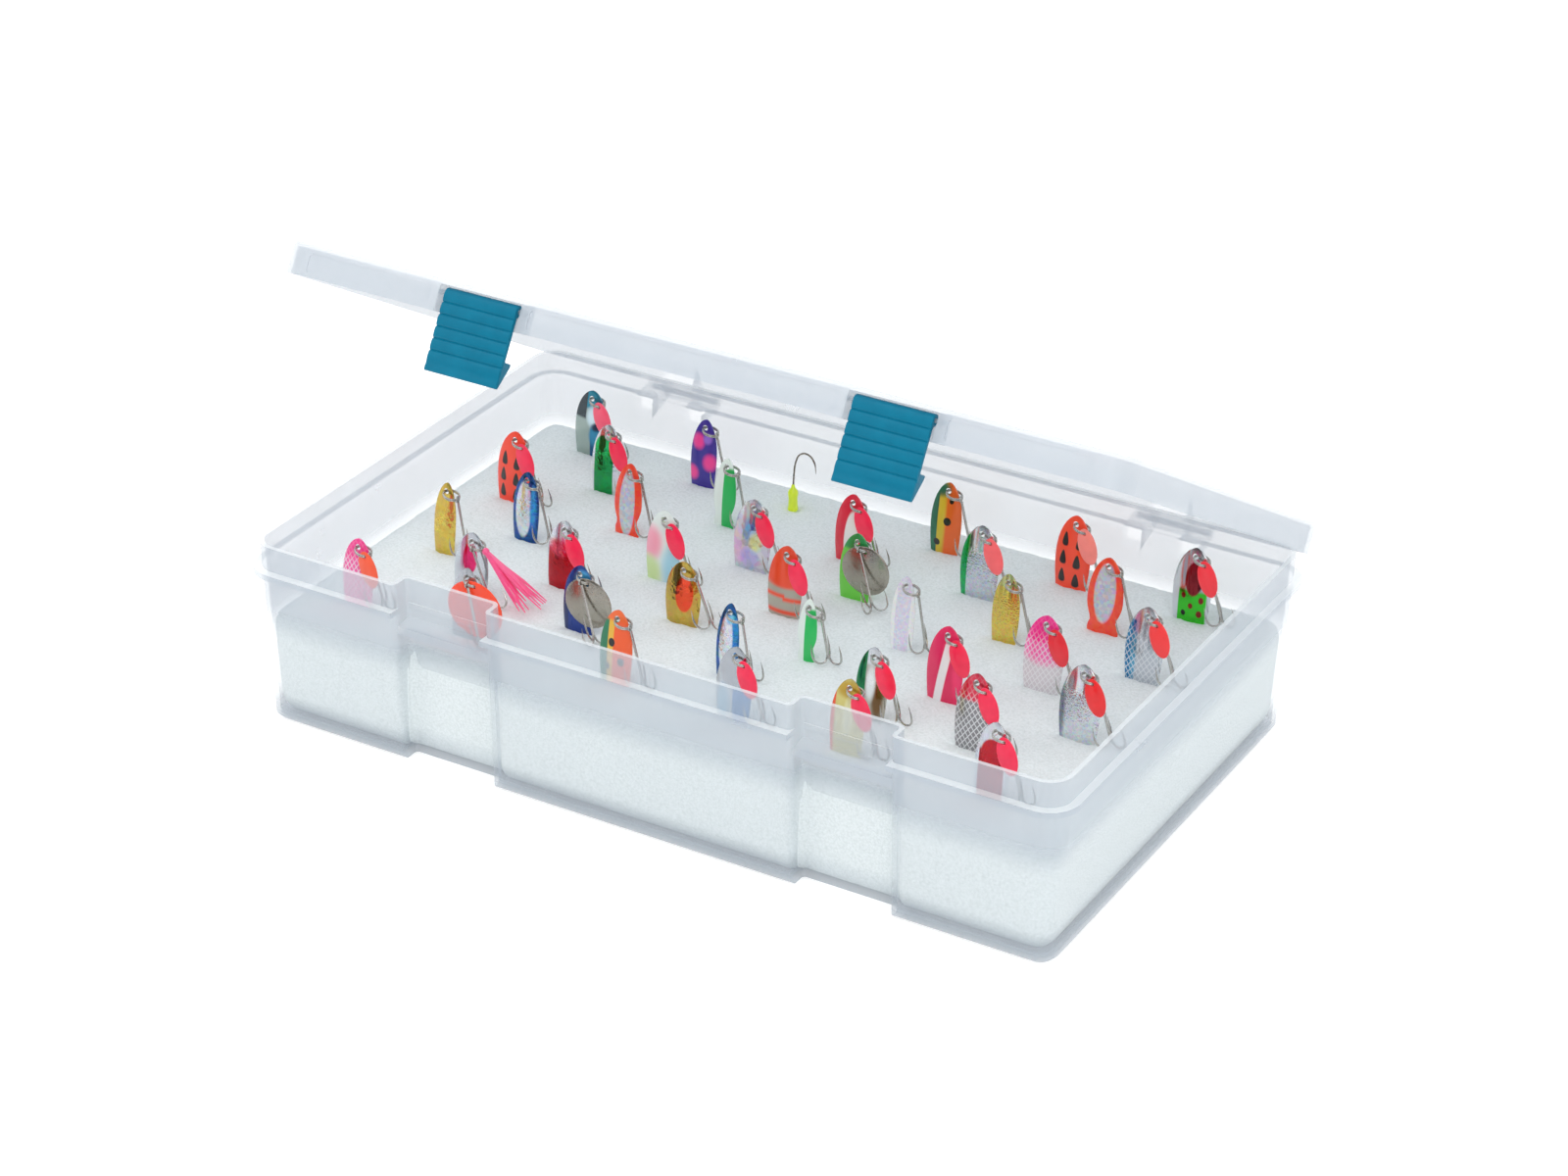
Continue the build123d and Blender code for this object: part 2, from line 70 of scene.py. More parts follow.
# Name, row from the back, place in the row, millimetres along the row from that
# place, width, height above the foam, and kind
LURES = [
    ("teal_grey", 0, 0, 4.0, 15.5, 27.5, "attractor"),
    ("purple_dots", 0, 1, 2.5, 12.0, 28.0, "plain"),
    ("chartreuse_jig", 0, 2, -11.0, 3.0, 26.5, "jig"),
    ("perch_orange", 0, 3, 2.5, 13.5, 29.0, "plain"),
    ("orange_teardrops", 0, 4, 2.5, 15.0, 29.4, "attractor"),
    ("green_spotted", 0, 5, -2.5, 16.0, 29.4, "attractor"),
    ("green_foil", 1, 0, 0.0, 14.0, 28.6, "attractor"),
    ("green_edge", 1, 1, 0.0, 10.0, 28.0, "tail"),
    ("red_swoosh", 1, 2, 2.0, 14.0, 27.6, "attractor"),
    ("green_holo", 1, 3, 3.0, 16.5, 29.2, "attractor"),
    ("orange_fish", 1, 4, 1.0, 15.0, 30.0, "tail"),
    ("orange_drops", 2, 0, 0.0, 15.5, 29.2, "attractor"),
    ("orange_outline", 2, 1, -1.5, 12.5, 29.0, "tail"),
    ("prism_holo", 2, 2, 0.0, 16.5, 28.6, "attractor"),
    ("green_disc", 2, 3, -9.5, 14.0, 26.5, "disc"),
    ("gold_glitter", 2, 4, 0.0, 11.5, 27.0, "plain"),
    ("blue_silver", 2, 5, 2.0, 15.5, 29.2, "attractor"),
    ("blue_edge", 3, 0, -5.0, 12.0, 28.2, "plain"),
    ("glow_pastel", 3, 1, 3.0, 15.0, 28.4, "attractor"),
    ("orange_nickel", 3, 2, 2.0, 15.0, 28.0, "attractor"),
    ("lavender", 3, 3, -2.5, 10.0, 29.0, "plain"),
    ("pink_scale", 3, 4, 1.0, 16.5, 29.4, "attractor"),
    ("gold_foil", 4, 0, 2.0, 10.0, 29.0, "plain"),
    ("red_foil", 4, 1, 1.5, 14.5, 27.4, "attractor"),
    ("gold_oval", 4, 2, 0.0, 15.5, 25.0, "plain"),
    ("green_slim", 4, 3, -1.0, 8.0, 24.4, "tail"),
    ("rose_swoosh", 4, 4, 1.5, 15.0, 29.2, "attractor"),
    ("chrome_holo", 4, 5, 1.0, 16.5, 29.4, "attractor"),
    ("squid_skirt", 5, 0, 4.0, 15.5, 27.0, "skirt"),
    ("blue_disc", 5, 1, -2.5, 14.0, 26.5, "disc"),
    ("silver_slim", 5, 2, 7.5, 9.5, 28.6, "plain"),
    ("green_nickel", 5, 3, 13.0, 13.0, 28.0, "attractor"),
    ("fishnet", 5, 4, -1.0, 15.0, 29.4, "attractor"),
    ("pink_pattern", 6, 0, -3.0, 14.0, 26.5, "attractor"),
    ("orange_disc", 6, 1, -9.0, 13.0, 27.5, "large_disc"),
    ("perch_green", 6, 2, 2.5, 14.0, 28.6, "plain"),
    ("chrome_blue", 6, 3, -2.5, 15.0, 28.0, "attractor"),
    ("yellow_edge", 6, 4, -11.0, 14.0, 28.6, "attractor"),
    ("dark_red_foil", 6, 5, -8.0, 14.0, 28.6, "attractor"),
]

# What each spoon is finished in: how metallic, a foil or glitter grain, and its paint
# as layers over the base, a few of them painted highlights, reflections and shade.
# Across a blade u runs from -1 to 1, and v from the foam, 0, to the tip, 1.
CHROME = "#dfe2e6"
SILVER = "#c4c8d4"
GOLD = "#dcb94e"
GLOW = "#e6f2ea"
FLUO = "#ff4327"
BLACK = "#161414"
FINISHES = {
    "teal_grey": ("#a3b5ae", 0.6, "", [
        ("rect", 0.05, 2, -2, 0.6, "#145d8a"), ("soft", 0.3, 0.3, 0.4, 0.2, "#2f8fb8"),
        ("rect", -2, 2, 0.72, 2, "#2b8ba3"), ("rect", -2, -0.25, 0.55, 2, "#3b484d"),
        # The pale blue-white soft oval in the middle is a painted highlight
        ("soft", 0.2, 0.6, 0.5, 0.2, "#dcf3fb"), ("soft", 0.35, 0.44, 0.3, 0.08, "#0f3552")]),
    "purple_dots": ("#3c2a9a", 0.15, "", [
        ("soft", -0.4, 0.66, 0.6, 0.15, "#ff3f9c"), ("soft", 0.55, 0.36, 0.6, 0.16, "#ff3f9c"),
        ("soft", -0.75, 0.16, 0.6, 0.14, "#ff3f9c"), ("soft", 0.3, 0.72, 0.4, 0.1, "#9a6fd8")]),
    "perch_orange": ("#ee661c", 0.2, "", [
        ("soft", -0.3, 0.45, 0.4, 0.9, "#d8c02e"), ("rect", -2, -0.5, -2, 2, "#0c6a48"),
        ("soft", -0.5, 0.9, 0.8, 0.14, "#0c6a48"), ("oval", 0.15, 0.45, 0.24, 0.06, BLACK),
        ("oval", -0.45, 0.12, 0.22, 0.05, BLACK), ("oval", 0.3, 0.75, 0.14, 0.04, BLACK)]),
    "orange_teardrops": ("#ff4b2a", 0.05, "", [
        ("drop", -0.45, 0.66, 0.2, 0.1, BLACK), ("drop", 0.35, 0.64, 0.2, 0.1, BLACK),
        ("drop", -0.5, 0.4, 0.22, 0.1, BLACK), ("drop", 0.3, 0.37, 0.22, 0.1, BLACK),
        ("drop", -0.5, 0.14, 0.22, 0.1, BLACK), ("drop", 0.3, 0.1, 0.22, 0.1, BLACK)]),
    "green_spotted": (CHROME, 1.0, "", [
        ("rect", -0.62, 0.8, -2, 0.42, "#3fce2c"), ("oval", 0.1, 0.58, 0.45, 0.24, "#8f1020"),
        ("oval", -0.35, 0.33, 0.12, 0.04, "#8a2418"), ("oval", 0.55, 0.3, 0.12, 0.05, "#8a2418"),
        ("oval", 0.05, 0.2, 0.12, 0.04, "#8a2418"), ("oval", 0.5, 0.1, 0.14, 0.05, "#8a2418"),
        ("oval", -0.3, 0.08, 0.12, 0.04, BLACK)]),
    "green_foil": (CHROME, 1.0, "foil", [
        ("rect", -0.8, 0.5, -2, 0.7, "#0f9347"), ("oval", -0.15, 0.68, 0.62, 0.16, "#16b556")]),
    "green_edge": (GLOW, 0.0, "", [("rect", -0.1, 2, -2, 0.86, "#14b957")]),
    "red_swoosh": ("#e5213c", 0.1, "", [
        ("oval", 0.15, 0.3, 0.5, 0.46, "#f6f2f0"), ("rect", 0.55, 2, -2, 0.7, "#e5213c")]),
    "green_holo": (SILVER, 0.95, "glitter", [
        ("rect", -2, 2, 0.6, 2, CHROME), ("rect", -2, -0.6, -2, 0.85, "#0f9f53")]),
    "orange_fish": (FLUO, 0.3, "holo", [("oval", 0.0, 0.52, 0.6, 0.4, "#b9bcc6")]),
    "orange_drops": ("#fb4529", 0.05, "", [
        ("drop", -0.5, 0.6, 0.2, 0.1, BLACK), ("drop", 0.25, 0.56, 0.2, 0.1, BLACK),
        ("drop", -0.55, 0.36, 0.2, 0.1, BLACK), ("drop", 0.25, 0.32, 0.2, 0.1, BLACK),
        ("drop", -0.55, 0.12, 0.2, 0.1, BLACK), ("drop", 0.25, 0.08, 0.2, 0.1, BLACK)]),
    "orange_outline": (FLUO, 0.3, "holo", [("oval", 0.0, 0.42, 0.56, 0.48, "#b9bcc6")]),
    "prism_holo": ("#cfccd4", 0.85, "prism", [
        ("soft", -0.7, 0.3, 0.7, 0.3, "#e6b7cf"), ("soft", -0.1, 0.55, 0.5, 0.2, "#9fb8ec"),
        ("soft", 0.25, 0.4, 0.4, 0.16, "#e9e29a"), ("soft", 0.0, 0.14, 0.6, 0.18, "#b7a4dd"),
        ("rect", -2, 2, 0.74, 2, CHROME)]),
    "green_disc": ("#74d94a", 0.5, "", [("rect", -2, 2, 0.75, 2, "#3aa95a")]),
    "gold_glitter": (GOLD, 0.9, "glitter", [("rect", -2, 2, 0.8, 2, "#b9c07a")]),
    "blue_silver": ("#c9ced6", 0.9, "net", [
        ("rect", -2, -0.5, -2, 0.8, "#1779ad"), ("soft", -0.5, 0.3, 0.2, 0.5, "#5aa8cc"),
        ("rect", -2, 2, 0.8, 2, CHROME)]),
    "blue_edge": ("#0c4684", 0.8, "holo", [
        ("oval", -0.12, 0.44, 0.62, 0.42, "#d3d8e2"), ("soft", 0.6, 0.5, 0.3, 0.4, "#2a80c4")]),
    "glow_pastel": ("#e6f1ec", 0.0, "", [
        ("soft", -0.7, 0.5, 0.9, 0.3, "#fba9bd"), ("soft", -0.7, 0.08, 0.9, 0.28, "#cfe8a4"),
        ("soft", 0.8, 0.2, 0.9, 0.45, "#a5d8ea")]),
    "orange_nickel": ("#b3ac9e", 0.4, "", [
        ("rect", -2, 2, 0.46, 2, "#f8512f"), ("soft", 0.0, 0.47, 1.4, 0.1, "#f8512f"),
        ("rect", -2, 0.1, 0.24, 0.3, "#f8512f"), ("rect", 0.0, 2, 0.2, 0.26, "#f8512f"),
        ("rect", -2, 2, 0.0, 0.06, "#f8512f")]),
    "lavender": ("#ddd6ea", 0.35, "glitter", [
        ("rect", -2, -0.6, -2, 2, "#f3f3f2"), ("rect", 0.6, 2, -2, 2, "#eef0f0")]),
    "pink_scale": ("#dcd6da", 0.3, "net", [
        ("soft", 0.0, 0.56, 1.6, 0.26, "#ff6db8"), ("rect", -2, 2, 0.64, 2, "#ff2f9a")]),
    "gold_foil": (GOLD, 1.0, "foil", []),
    "red_foil": (CHROME, 1.0, "foil", [
        ("rect", -0.9, 2, -2, 0.58, "#b4101f"), ("soft", -0.2, 0.6, 0.8, 0.16, "#e8415a")]),
    "gold_oval": ("#c9a544", 0.9, "foil", [("oval", 0.15, 0.48, 0.5, 0.3, "#fb4a22")]),
    "green_slim": (GLOW, 0.0, "", [("rect", -0.2, 2, -2, 0.84, "#1cc05a")]),
    "rose_swoosh": ("#e8195c", 0.1, "", [
        ("swoosh", 0.0, 0.6, 0.22, "#f7f2f4"), ("rect", -2, 2, 0.78, 2, "#e8195c"),
        ("soft", 0.8, 0.5, 0.4, 0.6, "#ff2d6e")]),
    "chrome_holo": ("#cfd3da", 1.0, "glitter", [
        # The dark grey soft patch along the left edge is painted shade
        ("rect", -2, 2, 0.6, 2, CHROME), ("soft", -0.95, 0.3, 0.35, 0.6, "#6d7480")]),
    "squid_skirt": ("#d5d9de", 1.0, "", [("oval", 0.0, 0.62, 0.42, 0.24, "#e0206a")]),
    "blue_disc": ("#173a8f", 0.6, "", [
        # The pale blue soft band near the tip is a painted highlight
        ("soft", 0.2, 0.8, 0.6, 0.16, "#57b6ec"), ("rect", -2, -0.6, -2, 0.4, "#0e2a66")]),
    "silver_slim": ("#0f4f8e", 0.8, "holo", [
        ("rect", 0.35, 2, -2, 0.9, "#2277b6"), ("oval", -0.1, 0.42, 0.6, 0.44, "#d8dce4"),
        ("soft", 0.1, 0.8, 0.4, 0.1, "#6fc0ea")]),
    "green_nickel": ("#b9b4a8", 0.9, "", [
        # The brown soft patch low on the right is a painted reflection, and the white soft patch in
        # the middle is a painted highlight
        ("soft", 0.45, 0.25, 0.4, 0.34, "#7a5a34"), ("soft", 0.0, 0.5, 0.35, 0.3, "#f2f4f4"),
        ("rect", -2, 2, 0.76, 2, CHROME), ("rect", -2, -0.35, -2, 2, "#0c7f48")]),
    "fishnet": ("#8f8d90", 0.6, "net", [("rect", -2, 2, 0.64, 2, "#e2314f")]),
    "pink_pattern": ("#fb5fa8", 0.1, "net", [("rect", -2, 2, 0.7, 2, "#f73a90")]),
    "orange_disc": ("#c9ccd0", 0.9, "", []),
    "perch_green": ("#fa5f26", 0.1, "", [
        ("rect", -2, -0.45, -2, 2, "#117a50"), ("rect", -0.45, -0.1, -2, 2, "#eeb93a"),
        ("rect", -2, 2, 0.85, 2, "#f06a30"),
        ("oval", -0.2, 0.55, 0.2, 0.06, BLACK), ("oval", 0.4, 0.3, 0.2, 0.06, BLACK),
        ("oval", -0.4, 0.2, 0.15, 0.05, BLACK)]),
    "chrome_blue": ("#c6cacf", 1.0, "", [
        ("rect", 0.05, 2, -2, 0.44, "#1473b8"), ("soft", -0.5, 0.2, 0.5, 0.3, "#a9c9de")]),
    "yellow_edge": ("#ddd07c", 0.6, "", [
        ("rect", -2, -0.72, -2, 2, "#f0562a"), ("soft", 0.0, 0.86, 1.0, 0.14, "#c7a338"),
        ("soft", 0.1, 0.5, 0.35, 0.3, "#f1ebb4")]),
    "dark_red_foil": (CHROME, 1.0, "foil", [
        ("rect", -0.75, 0.7, -2, 0.62, "#a90f1e"), ("oval", 0.0, 0.6, 0.66, 0.18, "#c2202c")]),
}
# How wide a flake of each grain is, in millimetres, and how strongly flakes differ
FLAKES = {"foil": (1.6, 0.4), "holo": (1.3, 0.92), "prism": (2.2, 0.72), "glitter": (0.8, 0.8)}
# Attractors that aren't of the usual colour
TAGS = {
    "teal_grey": "#ff5a78", "green_holo": "#ff6468", "orange_teardrops": "#ff8a80",
    "pink_pattern": "#ff5a30", "pink_scale": "#e81f2e", "blue_silver": "#ff3638",
    "chrome_holo": "#ee1c20", "green_spotted": "#ff3340",
}


class LureBoxSizes(bpy.types.PropertyGroup):
    """Sizes of the box and of what stands in it"""

    lid_open: bpy.props.FloatProperty(
        name="Lid open", description="How far the lid stands open, in degrees", default=30.5)
    hinge_y: bpy.props.FloatProperty(
        name="Hinge back", description="Hinge axis behind the middle", default=0.1171, unit="LENGTH")
    hinge_z: bpy.props.FloatProperty(
        name="Hinge height", description="Hinge axis above the floor", default=0.066, unit="LENGTH")
    foam_top: bpy.props.FloatProperty(
        name="Foam height", description="Top of the foam insert", default=0.048, unit="LENGTH")
    foam_grain: bpy.props.FloatProperty(
        name="Foam grain", description="Size of one tuft of the foam", default=0.001, unit="LENGTH")
    slit_pitch_x: bpy.props.FloatProperty(
        name="Slit pitch across", description="Between slits in a row", default=0.0567, unit="LENGTH")
    slit_pitch_y: bpy.props.FloatProperty(
        name="Slit pitch back", description="Between rows of slits", default=0.0262, unit="LENGTH")
    first_row: bpy.props.FloatProperty(
        name="First row", description="Back row of slits", default=0.08, unit="LENGTH")
    latch_x: bpy.props.FloatProperty(
        name="Latch place", description="Middle of a latch from the box's middle",
        default=0.0868, unit="LENGTH")


class LureBoxColours(bpy.types.PropertyGroup):
    """Colours of the moulded plastics, the foam and the metals"""

    plastic: bpy.props.StringProperty(
        name="Box plastic", description="Clear polypropylene, as sRGB hex", default="#b8c3ce")
    latch: bpy.props.StringProperty(
        name="Latch plastic", description="Teal latch, as sRGB hex", default="#016683")
    foam: bpy.props.StringProperty(
        name="Foam", description="Foam insert, as sRGB hex", default="#f1f8f9")
    steel: bpy.props.StringProperty(
        name="Hook steel", description="Rings and trebles, as sRGB hex", default="#d3d1cc")
    bronze: bpy.props.StringProperty(
        name="Bronze hook", description="The jig's hook, as sRGB hex", default="#6b5a44")
    tag: bpy.props.StringProperty(
        name="Attractor", description="The usual attractor tag, as sRGB hex", default="#fb1c4c")


def linear(hex_colour):
    """An sRGB hex colour as a linear one"""
    parts = [int(hex_colour[i:i + 2], 16) / 255 for i in (1, 3, 5)]
    return [c / 12.92 if c <= 0.04045 else ((c + 0.055) / 1.055) ** 2.4 for c in parts] + [1.0]


def feed(tree, made, inputs):
    """Give a node's sockets their values and links, a node standing for its first output"""
    for key, value in inputs.items():
        if isinstance(value, bpy.types.Node):
            value = value.outputs[0]
        if isinstance(value, bpy.types.NodeSocket):
            tree.links.new(value, made.inputs[key])
        else:
            made.inputs[key].default_value = value


def node(tree, kind, settings=None, inputs=None):
    """Add a node with its settings, values and links"""
    made = tree.nodes.new(kind)
    for name, value in (settings or {}).items():
        setattr(made, name, value)
    feed(tree, made, inputs or {})
    return made


def new_material(name):
    """An empty node material with its shader"""
    made = bpy.data.materials.new(name)
    made.use_nodes = True
    tree = made.node_tree
    shader = tree.nodes["Principled BSDF"]
    return made, tree, shader


def clear_selection():
    """Leave edit mode with nothing selected"""
    if bpy.context.object and bpy.context.object.mode != "OBJECT":
        bpy.ops.object.mode_set(mode="OBJECT")
    bpy.ops.object.select_all(action="DESELECT")


def select_only(piece):
    """Select one piece, and nothing else"""
    clear_selection()
    piece.select_set(True)
    bpy.context.view_layer.objects.active = piece


def settle(piece, name, body, material):
    """Name a finished piece, apply its place, give it its material and let it ride"""
    select_only(piece)
    bpy.ops.object.transform_apply(location=True, rotation=True, scale=True)
    piece.name = name
    piece.data.name = name
    piece.data.materials.clear()
    piece.data.materials.append(material)
    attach(piece, body)


def modify(piece, kind, **settings):
    """Add a modifier with its settings and apply it"""
    modifier = piece.modifiers.new(kind.lower(), kind)
    for name, value in settings.items():
        setattr(modifier, name, value)
    select_only(piece)
    bpy.ops.object.modifier_apply(modifier=modifier.name)


def cut_away(piece, cutter):
    """Cut one closed shape out of a piece"""
    modify(piece, "BOOLEAN", operation="DIFFERENCE", object=cutter)
    bpy.data.objects.remove(cutter)


def drill(piece, place, radius, depth, vertices, turn):
    """Drill a round hole, its radius and depth in millimetres"""
    clear_selection()
    bpy.ops.mesh.primitive_cylinder_add(
        vertices=vertices, radius=radius * MM, depth=depth * MM, rotation=turn, location=place)
    cut_away(piece, bpy.context.object)


def soften(piece, width, degrees):
    """Round off the edges, by a width in millimetres, where faces turn by more than
    some degrees"""
    modify(piece, "BEVEL", width=width * MM, segments=2,
           limit_method="ANGLE", angle_limit=math.radians(degrees))


def smooth(piece, degrees):
    """Smooth shading, with a crease where faces turn by more than some degrees"""
    select_only(piece)
    bpy.ops.object.shade_smooth_by_angle(angle=math.radians(degrees))


def deselect_faces():
    """Leave nothing of the active mesh selected"""
    bpy.ops.object.mode_set(mode="EDIT")
    bpy.ops.mesh.select_all(action="DESELECT")
    bpy.ops.object.mode_set(mode="OBJECT")


def tidy_faces(piece):
    """Merge doubles and point every face outwards"""
    select_only(piece)
    bpy.ops.object.mode_set(mode="EDIT")
    bpy.ops.mesh.select_all(action="SELECT")
    bpy.ops.mesh.remove_doubles(threshold=1e-6)
    bpy.ops.mesh.normals_make_consistent(inside=False)
    bpy.ops.object.mode_set(mode="OBJECT")


def join(parts):
    """Join parts into the first of them"""
    clear_selection()
    for part in parts:
        part.select_set(True)
    bpy.context.view_layer.objects.active = parts[0]
    if len(parts) > 1:
        bpy.ops.object.join()
    return parts[0]


def wire(points, diameter, taper=1.0, steps=5):
    """A round wire along a smooth curve, as a closed mesh"""
    clear_selection()
    bpy.ops.curve.primitive_bezier_curve_add(location=(0, 0, 0))
    curve = bpy.context.object
    spline = curve.data.splines[0]
    spline.bezier_points.add(len(points) - 2)
    for i, (knot, place) in enumerate(zip(spline.bezier_points, points)):
        knot.co = place
        knot.handle_left_type = knot.handle_right_type = "AUTO"
        knot.radius = 1.0 if i < len(points) - 1 else taper
    curve.data.dimensions = "3D"
    curve.data.bevel_depth = diameter / 2
    curve.data.bevel_resolution = 1
    curve.data.resolution_u = steps
    curve.data.use_fill_caps = True
    bpy.ops.object.convert(target="MESH")
    made = bpy.context.object
    tidy_faces(made)
    smooth(made, 50)
    return made


def slit_place(row, place, shift):
    """Where a slit's middle is on top of the foam"""
    sizes = bpy.context.scene.lure_box_sizes
    count = 6 - row % 2
    return Vector((
        (place - (count - 1) / 2) * sizes.slit_pitch_x + shift * MM,
        sizes.first_row - row * sizes.slit_pitch_y,
        sizes.foam_top,
    ))


def spoons():
    """Each spoon's name, the middle of its slit, its width, height and kind"""
    for name, row, place, shift, width, height, kind in LURES:
        if kind != "jig":
            yield name, slit_place(row, place, shift), width, height, kind


def only(kind):
    """The one lure of a kind: its name, the middle of its slit and its height"""
    name, row, place, shift, _, height, _ = next(lure for lure in LURES if lure[6] == kind)
    return name, slit_place(row, place, shift), height


def lean(height):
    """How far back a blade has curved at a height above the foam, in metres"""
    radius = 0.105
    return radius - math.sqrt(radius ** 2 - height ** 2) if height > 0 else 0.0


def ring_point(height, turn):
    """The split ring's middle and a point of it, from the slit's middle"""
    along = Vector((math.cos(RING_SLOPE), 0, -math.sin(RING_SLOPE)))
    hole_z = (height - HOLE_BELOW_TIP) * MM
    hole = Vector((0, lean(hole_z), hole_z))
    bulge = math.sqrt(RING_RADIUS ** 2 - RING_HALF_CHORD ** 2) * MM
    centre = hole + along * RING_HALF_CHORD * MM - Vector((0, bulge, 0))
    angle = math.radians(turn)
    point = centre + (along * math.cos(angle) - Vector((0, math.sin(angle), 0))) * RING_RADIUS * MM
    return centre, point


def mask(tree, u, v, layer):
    """How much of a paint layer shows at a place on the blade, 0 to 1"""
    shape = layer[0]
    if shape == "rect":
        # A limit of 2 or -2 is off the blade, so that side has no edge
        low_u, high_u, low_v, high_v = layer[1:5]
        shown = None
        for value, edge, side in ((u, low_u, 1), (u, high_u, -1), (v, low_v, 1), (v, high_v, -1)):
            if abs(edge) >= 2:
                continue
            soft = side * 0.03
            step = node(tree, "ShaderNodeMapRange", {"interpolation_type": "SMOOTHSTEP"},
                        {0: value, 1: edge - soft, 2: edge + soft})
            if shown is None:
                shown = step
            else:
                shown = node(tree, "ShaderNodeMath", {"operation": "MULTIPLY"}, {0: shown, 1: step})
        return shown
    if shape in ("oval", "soft", "drop"):
        middle_u, middle_v, radius_u, radius_v = layer[1:5]
        du = node(tree, "ShaderNodeMath", {"operation": "MULTIPLY_ADD"},
                  {0: u, 1: 1 / radius_u, 2: -middle_u / radius_u})
        dv = node(tree, "ShaderNodeMath", {"operation": "MULTIPLY_ADD"},
                  {0: v, 1: 1 / radius_v, 2: -middle_v / radius_v})
        if shape == "drop":
            narrow = node(tree, "ShaderNodeMath", {"operation": "MULTIPLY_ADD"},
                          {0: dv, 1: 0.7, 2: 1.3})
            du = node(tree, "ShaderNodeMath", {"operation": "MULTIPLY"}, {0: du, 1: narrow})
        du2 = node(tree, "ShaderNodeMath", {"operation": "MULTIPLY"}, {0: du, 1: du})
        total = node(tree, "ShaderNodeMath", {"operation": "MULTIPLY_ADD"}, {0: dv, 1: dv, 2: du2})
        inner = 0.1 if shape == "soft" else 0.8
        return node(tree, "ShaderNodeMapRange", {"interpolation_type": "SMOOTHSTEP"},
                    {0: total, 1: 1.15, 2: inner})
    # A swoosh: one stripe that slants up the blade
    middle, bend, half = layer[1:4]
    rise = node(tree, "ShaderNodeMath", {"operation": "SUBTRACT"}, {0: v, 1: 0.45})
    curve = node(tree, "ShaderNodeMath", {"operation": "MULTIPLY_ADD"},
                 {0: rise, 1: bend, 2: middle})
    off = node(tree, "ShaderNodeMath", {"operation": "SUBTRACT"}, {0: u, 1: curve})
    away = node(tree, "ShaderNodeMath", {"operation": "ABSOLUTE"}, {0: off})
    return node(tree, "ShaderNodeMapRange", {"interpolation_type": "SMOOTHSTEP"},
                {0: away, 1: half + 0.04, 2: half - 0.04})


def spoon_finish(name, width, height):
    """Lacquered or plated brass spoon: plated base, paint layers, a few of which are painted
    highlights, reflections and shade, and a clear coat.
    The clear coat gives the eye one sharp highlight over both metal and paint."""
    base, metal, grain, layers = FINISHES[name]
    made, tree, shader = new_material("lacquered_spoon_" + name)
    uv = node(tree, "ShaderNodeUVMap", {"uv_map": "blade"})
    parts = node(tree, "ShaderNodeSeparateXYZ", None, {0: uv})
    u = node(tree, "ShaderNodeMath", {"operation": "MULTIPLY_ADD"},
             {0: parts.outputs[0], 1: 2.0, 2: -1.0})
    v = parts.outputs[1]
    # The blade's own millimetres, for grain at its real size
    place = node(tree, "ShaderNodeVectorMath", {"operation": "MULTIPLY"},
                 {0: uv, 1: (width, height, 1.0)})
    colour = linear(base)
    for layer in layers:
        shown = mask(tree, u, v, layer)
        colour = node(tree, "ShaderNodeMix", {"data_type": "RGBA"},
                      {0: shown, 6: colour, 7: linear(layer[-1])}).outputs[2]
    if grain in FLAKES:
        size, tint = FLAKES[grain]
        cells = node(tree, "ShaderNodeTexVoronoi", {"feature": "F1"},
                     {"Vector": place, "Scale": 1 / size})
        pale = node(tree, "ShaderNodeMix", {"data_type": "RGBA"},
                    {0: 0.45, 6: cells.outputs["Color"], 7: (1, 1, 1, 1)}).outputs[2]
        colour = node(tree, "ShaderNodeMix", {"data_type": "RGBA", "blend_type": "SOFT_LIGHT"},
                      {0: tint, 6: colour, 7: pale}).outputs[2]
        low = node(tree, "ShaderNodeMapRange", None, {0: v, 1: 0.7, 2: 0.58})
        relief = node(tree, "ShaderNodeMath", {"operation": "MULTIPLY"},
                      {0: cells.outputs["Distance"], 1: low})
        bump = node(tree, "ShaderNodeBump", None,
                    {"Strength": 0.35, "Distance": 0.4 * MM, "Height": relief})
        feed(tree, shader, {"Normal": bump})
    if grain == "net":
        # Scale pattern: a pale diamond net, about 2.2 mm between lines
        lines = None
        for slope in (1.0, -1.0):
            x = node(tree, "ShaderNodeMath", {"operation": "MULTIPLY"}, {0: u, 1: width / 4.4})
            run = node(tree, "ShaderNodeMath", {"operation": "MULTIPLY_ADD"},
                       {0: v, 1: slope * height / 3.0, 2: x})
            wave = node(tree, "ShaderNodeMath", {"operation": "PINGPONG"}, {0: run, 1: 0.5})
            line = node(tree, "ShaderNodeMapRange", None,
                        {0: wave, 1: 0.14, 2: 0.07})
            if lines is None:
                lines = line
            else:
                lines = node(tree, "ShaderNodeMath", {"operation": "MAXIMUM"}, {0: lines, 1: line})
        faded = node(tree, "ShaderNodeMapRange", None, {0: v, 1: 0.6, 2: 0.8, 3: 0.75, 4: 0.1})
        lines = node(tree, "ShaderNodeMath", {"operation": "MULTIPLY"}, {0: lines, 1: faded})
        colour = node(tree, "ShaderNodeMix", {"data_type": "RGBA"},
                      {0: lines, 6: colour, 7: linear("#f6f6f8")}).outputs[2]
    feed(tree, shader, {
        "Base Color": colour, "Metallic": metal, "Roughness": 0.14 if metal > 0.5 else 0.3,
        "Coat Weight": 0.6, "Coat Roughness": 0.08})
    return made


